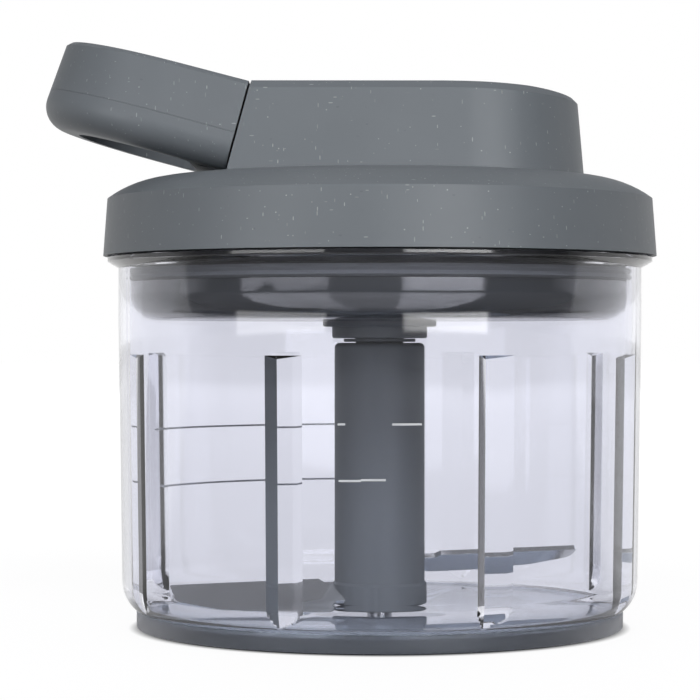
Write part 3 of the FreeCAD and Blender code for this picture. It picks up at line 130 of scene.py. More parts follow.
class Step:
    """A node in a graph. Its outputs are wires, taken by name or by number."""

    def __init__(self, graph, node):
        self.graph = graph
        self.node = node

    def __getitem__(self, key):
        return Wire(self.graph, self.node.outputs[key])


class Graph:
    """A tree of nodes that is filled by calls."""

    def __init__(self, tree):
        self.tree = tree

    def put(self, target, value):
        if isinstance(value, Wire):
            self.tree.links.new(value.socket, target)
        elif value is not None:
            target.default_value = value

    def add(self, kind, settings=None, sockets=()):
        node = self.tree.nodes.new(kind)
        for name, value in (settings or {}).items():
            setattr(node, name, value)
        pairs = sockets.items() if isinstance(sockets, dict) else enumerate(sockets)
        for key, value in pairs:
            self.put(node.inputs[key], value)
        return Step(self, node)

    def point(self, x=0.0, y=0.0, z=0.0):
        return self.add("ShaderNodeCombineXYZ", {}, [x, y, z])[0]

    def split(self, vector):
        parts = self.add("ShaderNodeSeparateXYZ", {}, [vector])
        return parts[0], parts[1], parts[2]

    def blend_color(self, factor, first, second):
        """A Mix node. Its sockets 0, 6 and 7 and its output 2 are those for colours."""
        step = self.add("ShaderNodeMix", {"data_type": "RGBA"}, {0: factor, 6: first, 7: second})
        return step[2]

    def ramp(self, factor, stops):
        """A colour ramp from (place, grey) pairs, as a number."""
        step = self.add("ShaderNodeValToRGB", {}, [factor])
        points = step.node.color_ramp.elements
        while len(points) < len(stops):
            points.new(1.0)
        for element, (place, grey) in zip(points, stops):
            element.position = place
            element.color = (grey, grey, grey, 1)
        return step[0]


print("sums and steps are ready")

# %% [markdown]
# ## Finishes
# Every finish starts from one Principled shader. A helper opens a material, hands
# back its graph and the position on the object, and joins the shader at the end.
# Patterns read Object coordinates, which on these pieces are plain metres, so a
# scale of 1000 makes a pattern with one cell a millimetre.

# %% Open and close a material


def new_finish(name):
    material = bpy.data.materials.new(name)
    material.use_nodes = True
    material.node_tree.nodes.clear()
    graph = Graph(material.node_tree)
    place = graph.add("ShaderNodeTexCoord")["Object"]
    return material, graph, place


def close_finish(graph, sockets, bump=None, strength=0.3, height=0.00005):
    """A Principled shader with its sockets, joined to the output."""
    if bump is not None:
        sockets["Normal"] = graph.add("ShaderNodeBump", {}, {
            "Strength": strength, "Distance": height, "Height": bump})[0]
    shader = graph.add("ShaderNodeBsdfPrincipled", {}, sockets)
    graph.add("ShaderNodeOutputMaterial", {}, {"Surface": shader[0]})


def noise(graph, place, scale, detail=2.0, rough=0.5):
    return graph.add("ShaderNodeTexNoise", {}, {
        "Vector": place, "Scale": scale, "Detail": detail, "Roughness": rough})[0]


def stretched(graph, place, scale=(1, 1, 1), turn=(0, 0, 0)):
    """The position scaled along the object's axes, which draws a pattern out, then turned.

    A Mapping node scales first, so the turn doesn't lean the grain: it only picks
    another part of the pattern.
    """
    return graph.add("ShaderNodeMapping", {"vector_type": "POINT"}, {
        "Vector": place, "Rotation": turn, "Scale": scale})[0]


print("finish helpers are ready")

# %% [markdown]
# ### Grey plastic with pale flecks
# The lid and handle are moulded from a plastic with chopped straw or mineral in
# it, which shows as small dots and short dashes, a few to the square centimetre. A
# Voronoi pattern has one seed in each cell, and where the surface passes close to a
# seed there is a dot. The same pattern on coordinates scaled along one axis gives
# dashes along that axis, here upright and level ones. Each cell's own colour says
# how strongly its fleck shows. A painted image would repeat or stretch somewhere on
# these round forms, and a pattern in space doesn't.

# %% The flecked plastic
FAINT_LIFT = 0.8     # below 1 the faint flecks show a little more


def flecks(graph, place, cell, radius):
    """Dots near the seeds of a Voronoi pattern, each of its own strength. Sizes in mm."""
    pattern = graph.add("ShaderNodeTexVoronoi", {"feature": "F1"}, {
        "Vector": place, "Scale": 1.0 / (cell * MM)})
    near = pattern["Distance"] < radius / cell
    strength, _, _ = graph.split(pattern["Color"])
    return near * strength.power(FAINT_LIFT)


def flecked_plastic():
    material, graph, place = new_finish("flecked_plastic")
    dots = flecks(graph, place, 2.3, 0.17)
    upright = flecks(graph, stretched(graph, place, (1, 1, 0.2)), 1.5, 0.12)
    level = flecks(graph, stretched(graph, place, (0.22, 1, 1), (0, 0, 0.3)), 1.6, 0.12)
    shorter = flecks(graph, stretched(graph, place, (1, 1, 0.25), (0.7, 0.9, 0.2)), 1.6, 0.12)
    pale = dots.most(upright).most(level).most(shorter)
    dark = flecks(graph, stretched(graph, place, (0.5, 1, 1), (0.4, 0.2, 1.1)), 2.6, 0.2)
    cloud = noise(graph, place, 60.0, 3.0)
    fine = noise(graph, place, 900.0, 2.0)
    grain = noise(graph, place, 4200.0, 2.0)
    base = graph.blend_color(cloud, (0.094, 0.105, 0.117, 1), (0.114, 0.126, 0.139, 1))
    base = graph.blend_color(dark * 0.4, base, (0.055, 0.062, 0.070, 1))
    base = graph.blend_color(pale * 0.5, base, (0.42, 0.43, 0.42, 1))
    close_finish(graph, {
        "Base Color": base,
        "Roughness": 0.41 + cloud * 0.06 + fine * 0.05 + pale * 0.08,
        "Specular IOR Level": 0.45,
    }, bump=grain + pale * 0.4, strength=0.16, height=0.00004)
    return material


lid_plastic = flecked_plastic()
print("flecked plastic:", len(lid_plastic.node_tree.nodes), "nodes")

# %% [markdown]
# ### Clear plastic
# The bowl is a clear, faintly cool plastic. Glass in a path tracer blocks lamps,
# so what is inside a glass bowl turns black. The usual way out is to let shadow
# and diffuse rays pass as if through tinted film, by mixing the shader with a
# Transparent one for those rays alone. The foot is frosted up to a height of 4.3 mm.
# A colour ramp runs from 0 to 1, so the height is given to it in centimetres.

# %% The clear bowl's finish
CLEAR_IOR = 1.49
FILM_TINT = (0.93, 0.935, 0.96, 1)


def clear_plastic():
    material, graph, place = new_finish("clear_plastic")
    haze = noise(graph, place, 45.0, 2.0)
    wipe = noise(graph, stretched(graph, place, (1, 1, 0.3), (0.2, 0.3, 0)), 240.0, 3.0)
    _, _, height = graph.split(place)
    centimetres = height * 100
    frosted = graph.ramp(centimetres, [(0.43, 1.0), (0.46, 0.0)])
    tint = graph.blend_color(haze, (0.838, 0.845, 0.904, 1), (0.850, 0.857, 0.912, 1))
    shader = graph.add("ShaderNodeBsdfPrincipled", {}, {
        "Base Color": tint,
        "Roughness": 0.010 + haze * 0.010 + wipe * 0.008 + frosted * 0.42,
        "IOR": CLEAR_IOR,
        "Transmission Weight": 1.0})
    film = graph.add("ShaderNodeBsdfTransparent", {}, [FILM_TINT])
    ray = graph.add("ShaderNodeLightPath")
    passes = ray["Is Shadow Ray"].most(ray["Is Diffuse Ray"])
    joined = graph.add("ShaderNodeMixShader", {}, [passes, shader[0], film[0]])
    graph.add("ShaderNodeOutputMaterial", {}, {"Surface": joined[0]})
    return material


bowl_plastic = clear_plastic()
print("clear plastic:", len(bowl_plastic.node_tree.nodes), "nodes")

# %% [markdown]
# ### Plain plastics, rubber and metals
# The remaining finishes share a pattern: a base colour that drifts a little, a
# roughness that drifts with it, and a fine bump for the way the surface was made.
# One function takes those as numbers, so each finish is a short call. The pad is
# dark at its edge, and its upward face, which shows through the bowl's floor, is
# painted pale as painted light from above. A ramp on the surface's own direction picks that face out.

# %% A maker's range of plain finishes


def plain_finish(name, dark, light, rough, drift=80.0, grain=3000.0, bump=0.12,
                 grain_stretch=(1, 1, 1), metallic=0.0, wear=0.05, height=0.00004, top=1.0):
    """A finish that drifts from dark to light. With painted light, an upward face is top times as
    light.
    """
    material, graph, place = new_finish(name)
    cloud = noise(graph, place, drift, 3.0)
    fine = noise(graph, stretched(graph, place, grain_stretch), grain, 3.0)
    base = graph.blend_color(cloud * 0.6 + fine * 0.4, dark + (1,), light + (1,))
    if top != 1.0:
        # Painted light: an upward face gets a paler colour, top times the light one.
        _, _, upward = graph.split(graph.add("ShaderNodeNewGeometry")["Normal"])
        painted_light_up = graph.ramp(upward, [(0.7, 0.0), (0.95, 1.0)])
        painted_top_color = tuple(grey * top for grey in light) + (1,)
        base = graph.blend_color(painted_light_up, base, painted_top_color)
    sockets = {"Base Color": base, "Roughness": rough + cloud * wear + fine * wear,
               "Metallic": metallic}
    close_finish(graph, sockets, bump=fine, strength=bump, height=height)
    return material


column_plastic = plain_finish("column_plastic", (0.110, 0.122, 0.134), (0.130, 0.143, 0.156),
                              0.50, grain=2600.0, bump=0.05)
# The pad's upward face is painted 6.6 times as light, a painted light on its top.
pad_rubber = plain_finish("pad_rubber", (0.060, 0.068, 0.076), (0.078, 0.087, 0.096),
                          0.60, grain=5200.0, bump=0.25, wear=0.08, top=6.6)
seal_rubber = plain_finish("seal_rubber", (0.134, 0.144, 0.156), (0.158, 0.168, 0.181),
                           0.62, grain=3600.0, bump=0.12)
acetal = plain_finish("acetal", (0.66, 0.66, 0.63), (0.74, 0.74, 0.71), 0.36, bump=0.08)
bronze = plain_finish("bronze", (0.42, 0.26, 0.11), (0.62, 0.41, 0.19), 0.34, grain=1900.0,
                      bump=0.35, metallic=1.0)
zinc_steel = plain_finish("zinc_steel", (0.50, 0.52, 0.54), (0.64, 0.65, 0.66), 0.30,
                          grain=1500.0, metallic=1.0)
spring_steel = plain_finish("spring_steel", (0.10, 0.12, 0.17), (0.20, 0.22, 0.28), 0.24,
                            grain=900.0, grain_stretch=(1, 1, 14), metallic=1.0)
polished_steel = plain_finish("polished_steel", (0.56, 0.57, 0.58), (0.66, 0.67, 0.68), 0.16,
                              grain=1600.0, grain_stretch=(1, 1, 12), metallic=1.0)
mark_white = plain_finish("mark_white", (0.42, 0.43, 0.45), (0.50, 0.51, 0.53), 0.45)
plain = (column_plastic, pad_rubber, seal_rubber, acetal, bronze, zinc_steel, spring_steel,
         polished_steel, mark_white)
print("plain finishes:", ", ".join(material.name for material in plain))

# %% [markdown]
# ### The plug's gloss
# The lid's plug is a darker grey, moulded against a polished tool, so it mirrors
# the studio with sharp edges. Round its top runs the groove for the
# bowl's rim, where no light falls, and its colour there is painted near black as
# painted shade. The hub below the plug keeps the mould's satin grain. Both zones are
# ramps over the height, and a colour ramp runs from 0 to 1, so the height is given to them in
# decimetres.

# %% The plug's finish


def glossy_plug():
    material, graph, place = new_finish("plug_plastic")
    cloud = noise(graph, place, 70.0, 3.0)
    scuffs = noise(graph, stretched(graph, place, (1, 1, 0.12), (0.5, 0.2, 0)), 900.0, 3.0)
    _, _, height = graph.split(place)
    decimetres = height * 10
    # Painted shade: the groove round the plug's top fades to near black.
    groove_shade = graph.ramp(decimetres, [(0.846, 0.0), (0.866, 1.0)])
    hub = graph.ramp(decimetres, [(0.728, 1.0), (0.733, 0.0)])
    base = graph.blend_color(cloud, (0.028, 0.031, 0.036, 1), (0.036, 0.040, 0.045, 1))
    base = graph.blend_color(hub, base, (0.115, 0.126, 0.137, 1))
    close_finish(graph, {
        # painted shade, near black in the groove
        "Base Color": graph.blend_color(groove_shade, base, (0.002, 0.002, 0.002, 1)),
        "Roughness": 0.05 + scuffs * 0.04 + groove_shade.most(hub) * 0.5,
        "Specular IOR Level": 0.9,
    }, bump=cloud, strength=0.03, height=0.0001)
    return material


plug_plastic = glossy_plug()
print("the plug's gloss is ready")

# %% [markdown]
# ### Ground blade steel
# A blade is ground along its length and polished, so its scratches run outwards
# from the column. A fine noise that is drawn out along one axis looks like them. The
# two blades point opposite ways, 24 degrees off the X axis, so one grain along X
# comes near to both, and neither needs a UV map.

# %% The blades' finish
GRAIN_PICK = math.radians(-24)     # another value shows other scratches, along X as before


def blade_steel():
    material, graph, place = new_finish("blade_steel")
    along = stretched(graph, place, (0.035, 1, 1), (0, 0, GRAIN_PICK))
    scratches = noise(graph, along, 5200.0, 4.0, 0.6)
    cloud = noise(graph, place, 120.0, 3.0)
    base = graph.blend_color(scratches, (0.80, 0.81, 0.82, 1), (0.90, 0.91, 0.92, 1))
    close_finish(graph, {
        "Base Color": base,
        "Metallic": 0.8,
        "Roughness": 0.07 + scratches * 0.06 + cloud * 0.03,
    }, bump=scratches, strength=0.06, height=0.00002)
    return material


blade_metal = blade_steel()
print("blade steel is ready")

# %% [markdown]
# ### Braided cord
# The pull cord is a braid of eight flat bundles. Its piece carries a UV map that
# runs once round and along the cord, so a lattice of two crossing waves makes the
# bundles, wherever the cord bends.

# %% The cord's finish
BUNDLES_EACH_WAY = 4


def braided_cord():
    material, graph, place = new_finish("braided_cord")
    around, along, _ = graph.split(graph.add("ShaderNodeUVMap", {"uv_map": "UVMap"})[0])
    turns = BUNDLES_EACH_WAY * 2 * math.pi
    left = (around * turns + along * turns).sin()
    right = (around * turns - along * turns).sin()
    bundle = left * right * 0.5 + 0.5
    fuzz = noise(graph, place, 4000.0, 3.0)
    lightness = bundle * 0.7 + fuzz * 0.3
    close_finish(graph, {
        "Base Color": graph.blend_color(lightness, (0.52, 0.52, 0.50, 1), (0.84, 0.84, 0.81, 1)),
        "Roughness": 0.75 + fuzz * 0.1,
        "Sheen Weight": 0.3,
    }, bump=bundle + fuzz * 0.3, strength=0.6, height=0.0002)
    return material


cord_braid = braided_cord()
print("braided cord is ready")

# %% [markdown]
# ## Turned forms and the ribbed bowl
# Most of this tool is turned about the bowl's axis. Geometry Nodes can spin any
# profile: a grid gets one column a step and one row a profile point, and each of
# its points moves to its column's angle and its row's radius and height. The bowl
# has eight baffle ribs inside its wall, so the same tree has a rule for them. Each
# profile point knows the wall's radius at its height. Each column knows how far it
# lies along a rib's steep or gentle facet, and a facet is a straight line in plan,
# so the law of sines gives its radius there. The smaller of the two radii wins,
# which also makes the pointed foot where a rib runs out on the rounded corner. In
# the one row where the ribs end at the top, each point sinks in proportion to how
# far it stands inside the wall, and that gives a rib its sloped end.

# %% The spinning tree


def new_shape_tree(name, inputs):
    """A Geometry Nodes tree with named inputs. Returns its graph and its sockets."""
    tree = bpy.data.node_groups.new(name, "GeometryNodeTree")
    tree.interface.new_socket("Geometry", in_out="INPUT", socket_type="NodeSocketGeometry")
    tree.interface.new_socket("Geometry", in_out="OUTPUT", socket_type="NodeSocketGeometry")
    kinds = {float: "NodeSocketFloat", int: "NodeSocketInt", "material": "NodeSocketMaterial"}
    for label, kind in inputs:
        tree.interface.new_socket(label, in_out="INPUT", socket_type=kinds[kind])
    graph = Graph(tree)
    return graph, graph.add("NodeGroupInput")


def end_shape_tree(graph, shape, material):
    whole = graph.add("GeometryNodeRealizeInstances", {}, {"Geometry": shape})[0]
    painted = graph.add("GeometryNodeSetMaterial", {}, {"Geometry": whole, "Material": material})
    graph.add("NodeGroupOutput", {}, {0: painted[0]})
    return graph.tree


def spinning_tree():
    graph, given = new_shape_tree("spin_profile", [
        ("Rows", int), ("Ribs", int), ("Steep columns", int), ("Gentle columns", int),
        ("Plain columns", int), ("Rib depth", float), ("Steep angle", float),
        ("Gentle angle", float), ("First rib", float), ("End drop", float),
        ("Crease angle", float), ("Material", "material")])
    rows, ribs, depth = given["Rows"], given["Ribs"], given["Rib depth"]
    on_steep, on_gentle, plain = (given[name + " columns"] for name in ("Steep", "Gentle", "Plain"))
    columns = on_steep + on_gentle + plain
    grid = graph.add("GeometryNodeMeshGrid", {}, {
        "Vertices X": ribs * columns + 1, "Vertices Y": rows})["Mesh"]
    index = graph.add("GeometryNodeInputIndex")[0]
    column = ((index + 0.5) / rows).floor()
    row = index - column * rows
    pitch = ((column + 0.5) / columns).floor()
    local = column - pitch * columns - on_steep
    width = 2 * math.pi / ribs
    steep, gentle = given["Steep angle"], given["Gentle angle"]
    before = (local / on_steep).least(0) * steep
    after = (local / on_gentle).most(0).least(1) * gentle
    beyond = ((local - on_gentle) / plain).most(0) * (width - steep - gentle)
    angle = pitch * width + before + after + beyond + given["First rib"]

    def at_row(kind, value):
        settings = {"data_type": kind, "domain": "POINT"}
        return graph.add("GeometryNodeSampleIndex", settings, {
            "Geometry": given["Geometry"], "Value": value, "Index": row})[0]

    def number_at_row(name):
        named = graph.add("GeometryNodeInputNamedAttribute", {"data_type": "FLOAT"}, {"Name": name})
        return at_row("FLOAT", named[0])

    place = graph.add("GeometryNodeInputPosition")[0]
    radius, _, height = graph.split(at_row("FLOAT_VECTOR", place))
    wall = number_at_row("wall")
    ridge = wall - depth
    span = (local < 0) * steep + (local > -0.5) * gentle
    turned_by = after - before
    facet = ridge * wall * span.sin() / (ridge * turned_by.sin() + wall * (span - turned_by).sin())
    on_rib = (beyond < 0.0001) * (wall > 0)
    radius = radius + on_rib * (radius.least(facet) - radius)
    height = height - number_at_row("drop") * on_rib * given["End drop"] * (wall - radius) / depth
    moved = graph.add("GeometryNodeSetPosition", {}, {
        "Geometry": grid,
        "Position": graph.point(radius * angle.cos(), radius * angle.sin(), height)})
    closed = graph.add("GeometryNodeMergeByDistance", {}, {"Geometry": moved[0], "Distance": 1e-6})
    bend = graph.add("GeometryNodeInputMeshEdgeAngle")[0]
    smooth = graph.add("GeometryNodeSetShadeSmooth", {"domain": "FACE"}, {0: closed[0]})
    creased = graph.add("GeometryNodeSetShadeSmooth", {"domain": "EDGE"}, {
        0: smooth[0], "Selection": bend > given["Crease angle"], "Shade Smooth": False})
    return end_shape_tree(graph, creased[0], given["Material"])


spin_tree = spinning_tree()
print("spinning tree:", len(spin_tree.nodes), "nodes")

# %% [markdown]
# ## From a tree to a finished piece
# A modifier's inputs are set by the identifier of each socket. The evaluated
# result becomes a plain mesh, so that nothing is left to recompute.

# %% Run a tree and keep its mesh


def keep_mesh(source, name):
    """A plain object from what an object's modifiers make."""
    bpy.context.view_layer.update()
    graph = bpy.context.evaluated_depsgraph_get()
    mesh = bpy.data.meshes.new_from_object(source.evaluated_get(graph),
                                           preserve_all_data_layers=True, depsgraph=graph)
    bpy.data.objects.remove(source)
    mesh.name = name
    piece = bpy.data.objects.new(name, mesh)
    bpy.context.scene.collection.objects.link(piece)
    return piece


def run_tree(tree, name, mesh, values):
    source = bpy.data.objects.new(name + "_source", mesh)
    bpy.context.scene.collection.objects.link(source)
    modifier = source.modifiers.new("shape", "NODES")
    modifier.node_group = tree
    for item in tree.interface.items_tree:
        if item.item_type == "SOCKET" and item.in_out == "INPUT" and item.name in values:
            modifier[item.identifier] = values[item.name]
    source.update_tag()
    return keep_mesh(source, name)


def face_outwards(piece):
    """Merges doubles and turns a closed mesh's faces outwards."""
    mesh = bmesh.new()
    mesh.from_mesh(piece.data)
    bmesh.ops.remove_doubles(mesh, verts=mesh.verts, dist=1e-7)
    bmesh.ops.recalc_face_normals(mesh, faces=mesh.faces)
    mesh.to_mesh(piece.data)
    mesh.free()


def count_faces(piece):
    return "%s: %d faces" % (piece.name, len(piece.data.polygons))


print("piece helpers are ready")

# %% [markdown]
# ## Profiles with soft corners
# A moulded part never has a perfectly sharp corner. A profile is listed as corner
# points, each with the radius of its corner, and every corner becomes a short arc.

# %% Round a profile's corners
LARGE_CORNER = 3     # mm; from here on a corner gets three times as many steps


def rounded(corners, steps=4):
    """Points (r, z) in mm of an open profile. A corner is (r, z) or (r, z, radius)."""
    points = [Vector(corner[:2]) for corner in corners]
    result = [points[0]]
    for i in range(1, len(points) - 1):
        radius = corners[i][2] if len(corners[i]) > 2 else 0
        if not radius:
            result.append(points[i])
            continue
        back = (points[i - 1] - points[i]).normalized()
        ahead = (points[i + 1] - points[i]).normalized()
        half = back.angle(ahead) / 2
        center = points[i] + (back + ahead).normalized() * (radius / math.sin(half))
        first = (points[i] + back * (radius / math.tan(half)) - center).normalized()
        last = (points[i] + ahead * (radius / math.tan(half)) - center).normalized()
        count = steps if radius < LARGE_CORNER else 3 * steps
        for step in range(count + 1):
            result.append(center + first.slerp(last, step / count) * radius)
    result.append(points[-1])
    return result


def profile_mesh(name, points, walls, drop_row):
    """Loose points for the spinning tree, with the wall's radius where there are ribs."""
    mesh = bpy.data.meshes.new(name)
    mesh.from_pydata([(p[0] * MM, 0, p[1] * MM) for p in points], [], [])
    wall = mesh.attributes.new("wall", "FLOAT", "POINT")
    for row, radius in enumerate(walls):
        wall.data[row].value = radius * MM
    mesh.attributes.new("drop", "FLOAT", "POINT").data[drop_row].value = 1.0
    return mesh


print("a rounded square has", len(rounded([(0, 0), (9, 0, 1), (9, 9, 1), (0, 9)])), "points")

# %% [markdown]
# ## The bowl
# The bowl is moulded in clear plastic with a foot skirt for its pad, a boss for
# the blade pin and eight ribs that throw the food back towards the blades. Its
# profile starts at the bottom of the pin's hole, runs over the floor and up the
# inside, and comes down the outside.

# %% The bowl's sizes, in millimetres and degrees
BOWL = dict(outer=62.4, wall=2.0, low=2.8, draft=0.9, draft_top=73.3, corner=8.5, inside_corner=5.8,
            rim=65.0, rim_top=88.2, rim_low=87.1, neck=85.6, foot=0.35, foot_corner=0.3,
            skirt_out=58.1, skirt_out_top=4.50, skirt_in=56.9, skirt_in_top=3.75,
            pin_hole=3, pin_root=1.5, boss=8, boss_low=0.9,
            rib_top=65.2, rib_drop=0.8, rib_depth=2.2, steep=2.25, gentle=6.4, ribs=8, first=22.2)
inside = BOWL["outer"] - BOWL["wall"]
bowl_floor = BOWL["low"] + BOWL["wall"]
low_outer = BOWL["outer"] - BOWL["draft"]
flat_edge = low_outer - BOWL["corner"]


def narrowed(z):
    """How much the wall has narrowed at a height, in mm."""
    share = (BOWL["draft_top"] - z) / (BOWL["draft_top"] - bowl_floor)
    return BOWL["draft"] * max(0.0, min(1.0, share))


def corner_arc(start, end, steps=10):
    """Points of the bowl's outer bottom corner between two radii."""
    center = Vector((BOWL["outer"] - BOWL["draft"] - BOWL["corner"], BOWL["low"] + BOWL["corner"]))
    angles = [-math.acos(min(1.0, (r - center.x) / BOWL["corner"])) for r in (start, end)]
    turn = [angles[0] + (angles[1] - angles[0]) * i / steps for i in range(steps + 1)]
    return [center + Vector((math.cos(a), math.sin(a))) * BOWL["corner"] for a in turn]


print("inside radius:", inside, "mm, floor at", bowl_floor, "mm")

# %% The bowl's profile
TOUCH = 0.01     # mm, by which a point may miss the floor and still count as on it
rib_end = (inside - narrowed(BOWL["rib_top"]), BOWL["rib_top"])
inner = rounded([(0, BOWL["pin_root"]), (BOWL["pin_hole"], BOWL["pin_root"]),
                 (BOWL["pin_hole"], bowl_floor, 0.3),
                 (inside - BOWL["draft"], bowl_floor, BOWL["inside_corner"]), rib_end], steps=6)
walls = [inside - narrowed(point[1]) if point[1] >= bowl_floor - TOUCH else 0.0 for point in inner]
rim = rounded([rib_end,
               (inside, BOWL["draft_top"]),
               (inside, BOWL["rim_top"], 0.5),
               (BOWL["rim"], BOWL["rim_top"], 0.2), (BOWL["rim"], BOWL["rim_low"], 0.15),
               (BOWL["outer"], BOWL["neck"], 0.25), (BOWL["outer"], BOWL["draft_top"]),
               (low_outer, BOWL["low"] + BOWL["corner"])])
skirt = rounded([(BOWL["skirt_out"], BOWL["skirt_out_top"]),
                 (BOWL["skirt_out"], BOWL["foot"], BOWL["foot_corner"]),
                 (BOWL["skirt_in"], BOWL["foot"], BOWL["foot_corner"]),
                 (BOWL["skirt_in"], BOWL["skirt_in_top"])])
boss = rounded([(flat_edge, BOWL["low"]), (BOWL["boss"], BOWL["low"]),
                (BOWL["boss"], BOWL["boss_low"], BOWL["foot_corner"]), (0, BOWL["boss_low"])])
outline = (inner + rim + corner_arc(low_outer, BOWL["skirt_out"])[1:-1] + skirt
           + corner_arc(BOWL["skirt_in"], flat_edge, 4)[1:-1] + boss)
print("profile:", len(outline), "points")

# %% Spin the bowl
bowl = run_tree(spin_tree, "clear_bowl", profile_mesh(
    "bowl_profile", outline, walls, len(inner) - 1), {
    "Rows": len(outline), "Ribs": BOWL["ribs"], "Steep columns": 4, "Gentle columns": 8,
    "Plain columns": 14, "Rib depth": BOWL["rib_depth"] * MM,
    "Steep angle": math.atan(BOWL["steep"] / inside),
    "Gentle angle": math.atan(BOWL["gentle"] / inside),
    "First rib": math.radians(BOWL["first"]), "End drop": BOWL["rib_drop"] * MM,
    "Crease angle": math.radians(14), "Material": bowl_plastic})
face_outwards(bowl)
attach(bowl, "bowl")
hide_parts("bowl")
print(count_faces(bowl))

# %% [markdown]
# ## Level marks
# The wall carries short raised lines to measure by. Each is one point on the axis,
# at the line's height, with three numbers of its own: the azimuths where it starts
# and ends, and the wall's radius there. The tree puts a small bar on every point,
# and bends it round the wall. A line painted in the bowl's finish would be simpler,
# but it would have no edge to catch the light.

# %% Bend bars round the wall


def marks_tree():
    graph, given = new_shape_tree("level_marks", [
        ("Raised", float), ("Width", float), ("Steps", int), ("Material", "material")])

    def stored(name, kind="FLOAT"):
        return graph.add("GeometryNodeInputNamedAttribute", {"data_type": kind}, {"Name": name})[0]

    bar = graph.add("GeometryNodeMeshCube", {}, {
        "Size": (1, 1, 1), "Vertices X": given["Steps"]})["Mesh"]
    bars = graph.add("GeometryNodeInstanceOnPoints", {}, {
        "Points": given["Geometry"], "Instance": bar})[0]
    seated = {"data_type": "FLOAT_VECTOR", "domain": "INSTANCE"}
    flat = graph.add("GeometryNodeStoreNamedAttribute", seated, {
        "Geometry": bars, "Name": "seat", "Value": graph.add("GeometryNodeInputPosition")[0]})[0]
    solid = graph.add("GeometryNodeRealizeInstances", {}, {"Geometry": flat})[0]
    seat = stored("seat", "FLOAT_VECTOR")
    place = graph.add("GeometryNodeInputPosition")[0]
    local = graph.add("ShaderNodeVectorMath", {"operation": "SUBTRACT"}, [place, seat])[0]
    along, across, up = graph.split(local)
    _, _, seat_height = graph.split(seat)
    share = along + 0.5
    start, end = stored("start"), stored("end")
    angle = start + (end - start) * share
    radius = stored("wall") + across * given["Raised"]
    height = seat_height + up * given["Width"]
    bent = graph.add("GeometryNodeSetPosition", {}, {
        "Geometry": solid,
        "Position": graph.point(radius * angle.cos(), radius * angle.sin(), height)})
    return end_shape_tree(graph, bent[0], given["Material"])


def wall_angle(x, back):
    """The azimuth on the outer wall of a point at that X, in mm."""
    side = math.acos(max(-1, min(1, x / BOWL["outer"])))
    return side if back else -side


# Each mark's first X, last X and height, in mm, and whether it is on the back wall.
MARKS = [(-58.2, -9.5, 46.1, True), (-56.9, -9.5, 31.7, True), (-9.8, -8.2, 50.4, False),
         (2.0, 8.4, 50.4, False), (-9.6, -4.8, 38.2, False), (-4.8, 0.6, 38.4, False)]
MARK_MIDDLE = 0.08     # mm that the middle of a bar stands outside the wall
mark_points = bpy.data.meshes.new("mark_points")
mark_points.from_pydata([(0, 0, z * MM) for _, _, z, _ in MARKS], [], [])
marks_of = {
    "start": [wall_angle(start, back) for start, _, _, back in MARKS],
    "end": [wall_angle(end, back) for _, end, _, back in MARKS],
    "wall": [(BOWL["outer"] - narrowed(z) + MARK_MIDDLE) * MM for _, _, z, _ in MARKS]}
for label, numbers in marks_of.items():
    values = mark_points.attributes.new(label, "FLOAT", "POINT")
    values.data.foreach_set("value", numbers)
marks = run_tree(marks_tree(), "level_marks", mark_points, {
    "Raised": 0.3 * MM, "Width": 0.45 * MM, "Steps": 24, "Material": mark_white})
face_outwards(marks)
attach(marks, "bowl")
print(count_faces(marks))

# %% [markdown]
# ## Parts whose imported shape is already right
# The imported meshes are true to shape, but they are loose triangles with hard
# edges. For a finished look, a copy is merged, its flat areas are joined up, its
# sharp edges get a small bevel, and weighted normals keep the flats flat. Where the
# handle's two shells meet, a bevel would open a groove, so the edges on that plane
# stay as they are. They are marked sharp once more after the bevel, which makes new
# edges up to that plane, and only then are the normals weighted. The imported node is
# hidden behind its copy.

# %% Where the handle's two shells meet
PULL_TILT = math.radians(15)
PULL = Vector((-math.cos(PULL_TILT), 0, math.sin(PULL_TILT)))
SQUARE = Vector((math.sin(PULL_TILT), 0, math.cos(PULL_TILT)))
SEAM = Vector((-35.2, 0, 107.6)) * MM
PARTING = 8.6 * MM


def on_pull(u, w):
    """A point in mm along the pull, and square to it, from the foot of the seam."""
    return SEAM + PULL * (u * MM) + SQUARE * (w * MM)


def at_parting(point):
    """Whether a point lies on the plane where the handle's two shells meet."""
    return abs((point - SEAM).dot(SQUARE) - PARTING) < 0.1 * MM


print("the parting lies", round(PARTING / MM, 3), "mm above the foot of the seam")

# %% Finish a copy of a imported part
SHARP_ANGLE = math.radians(32)
FLAT_ANGLE = math.radians(0.6)


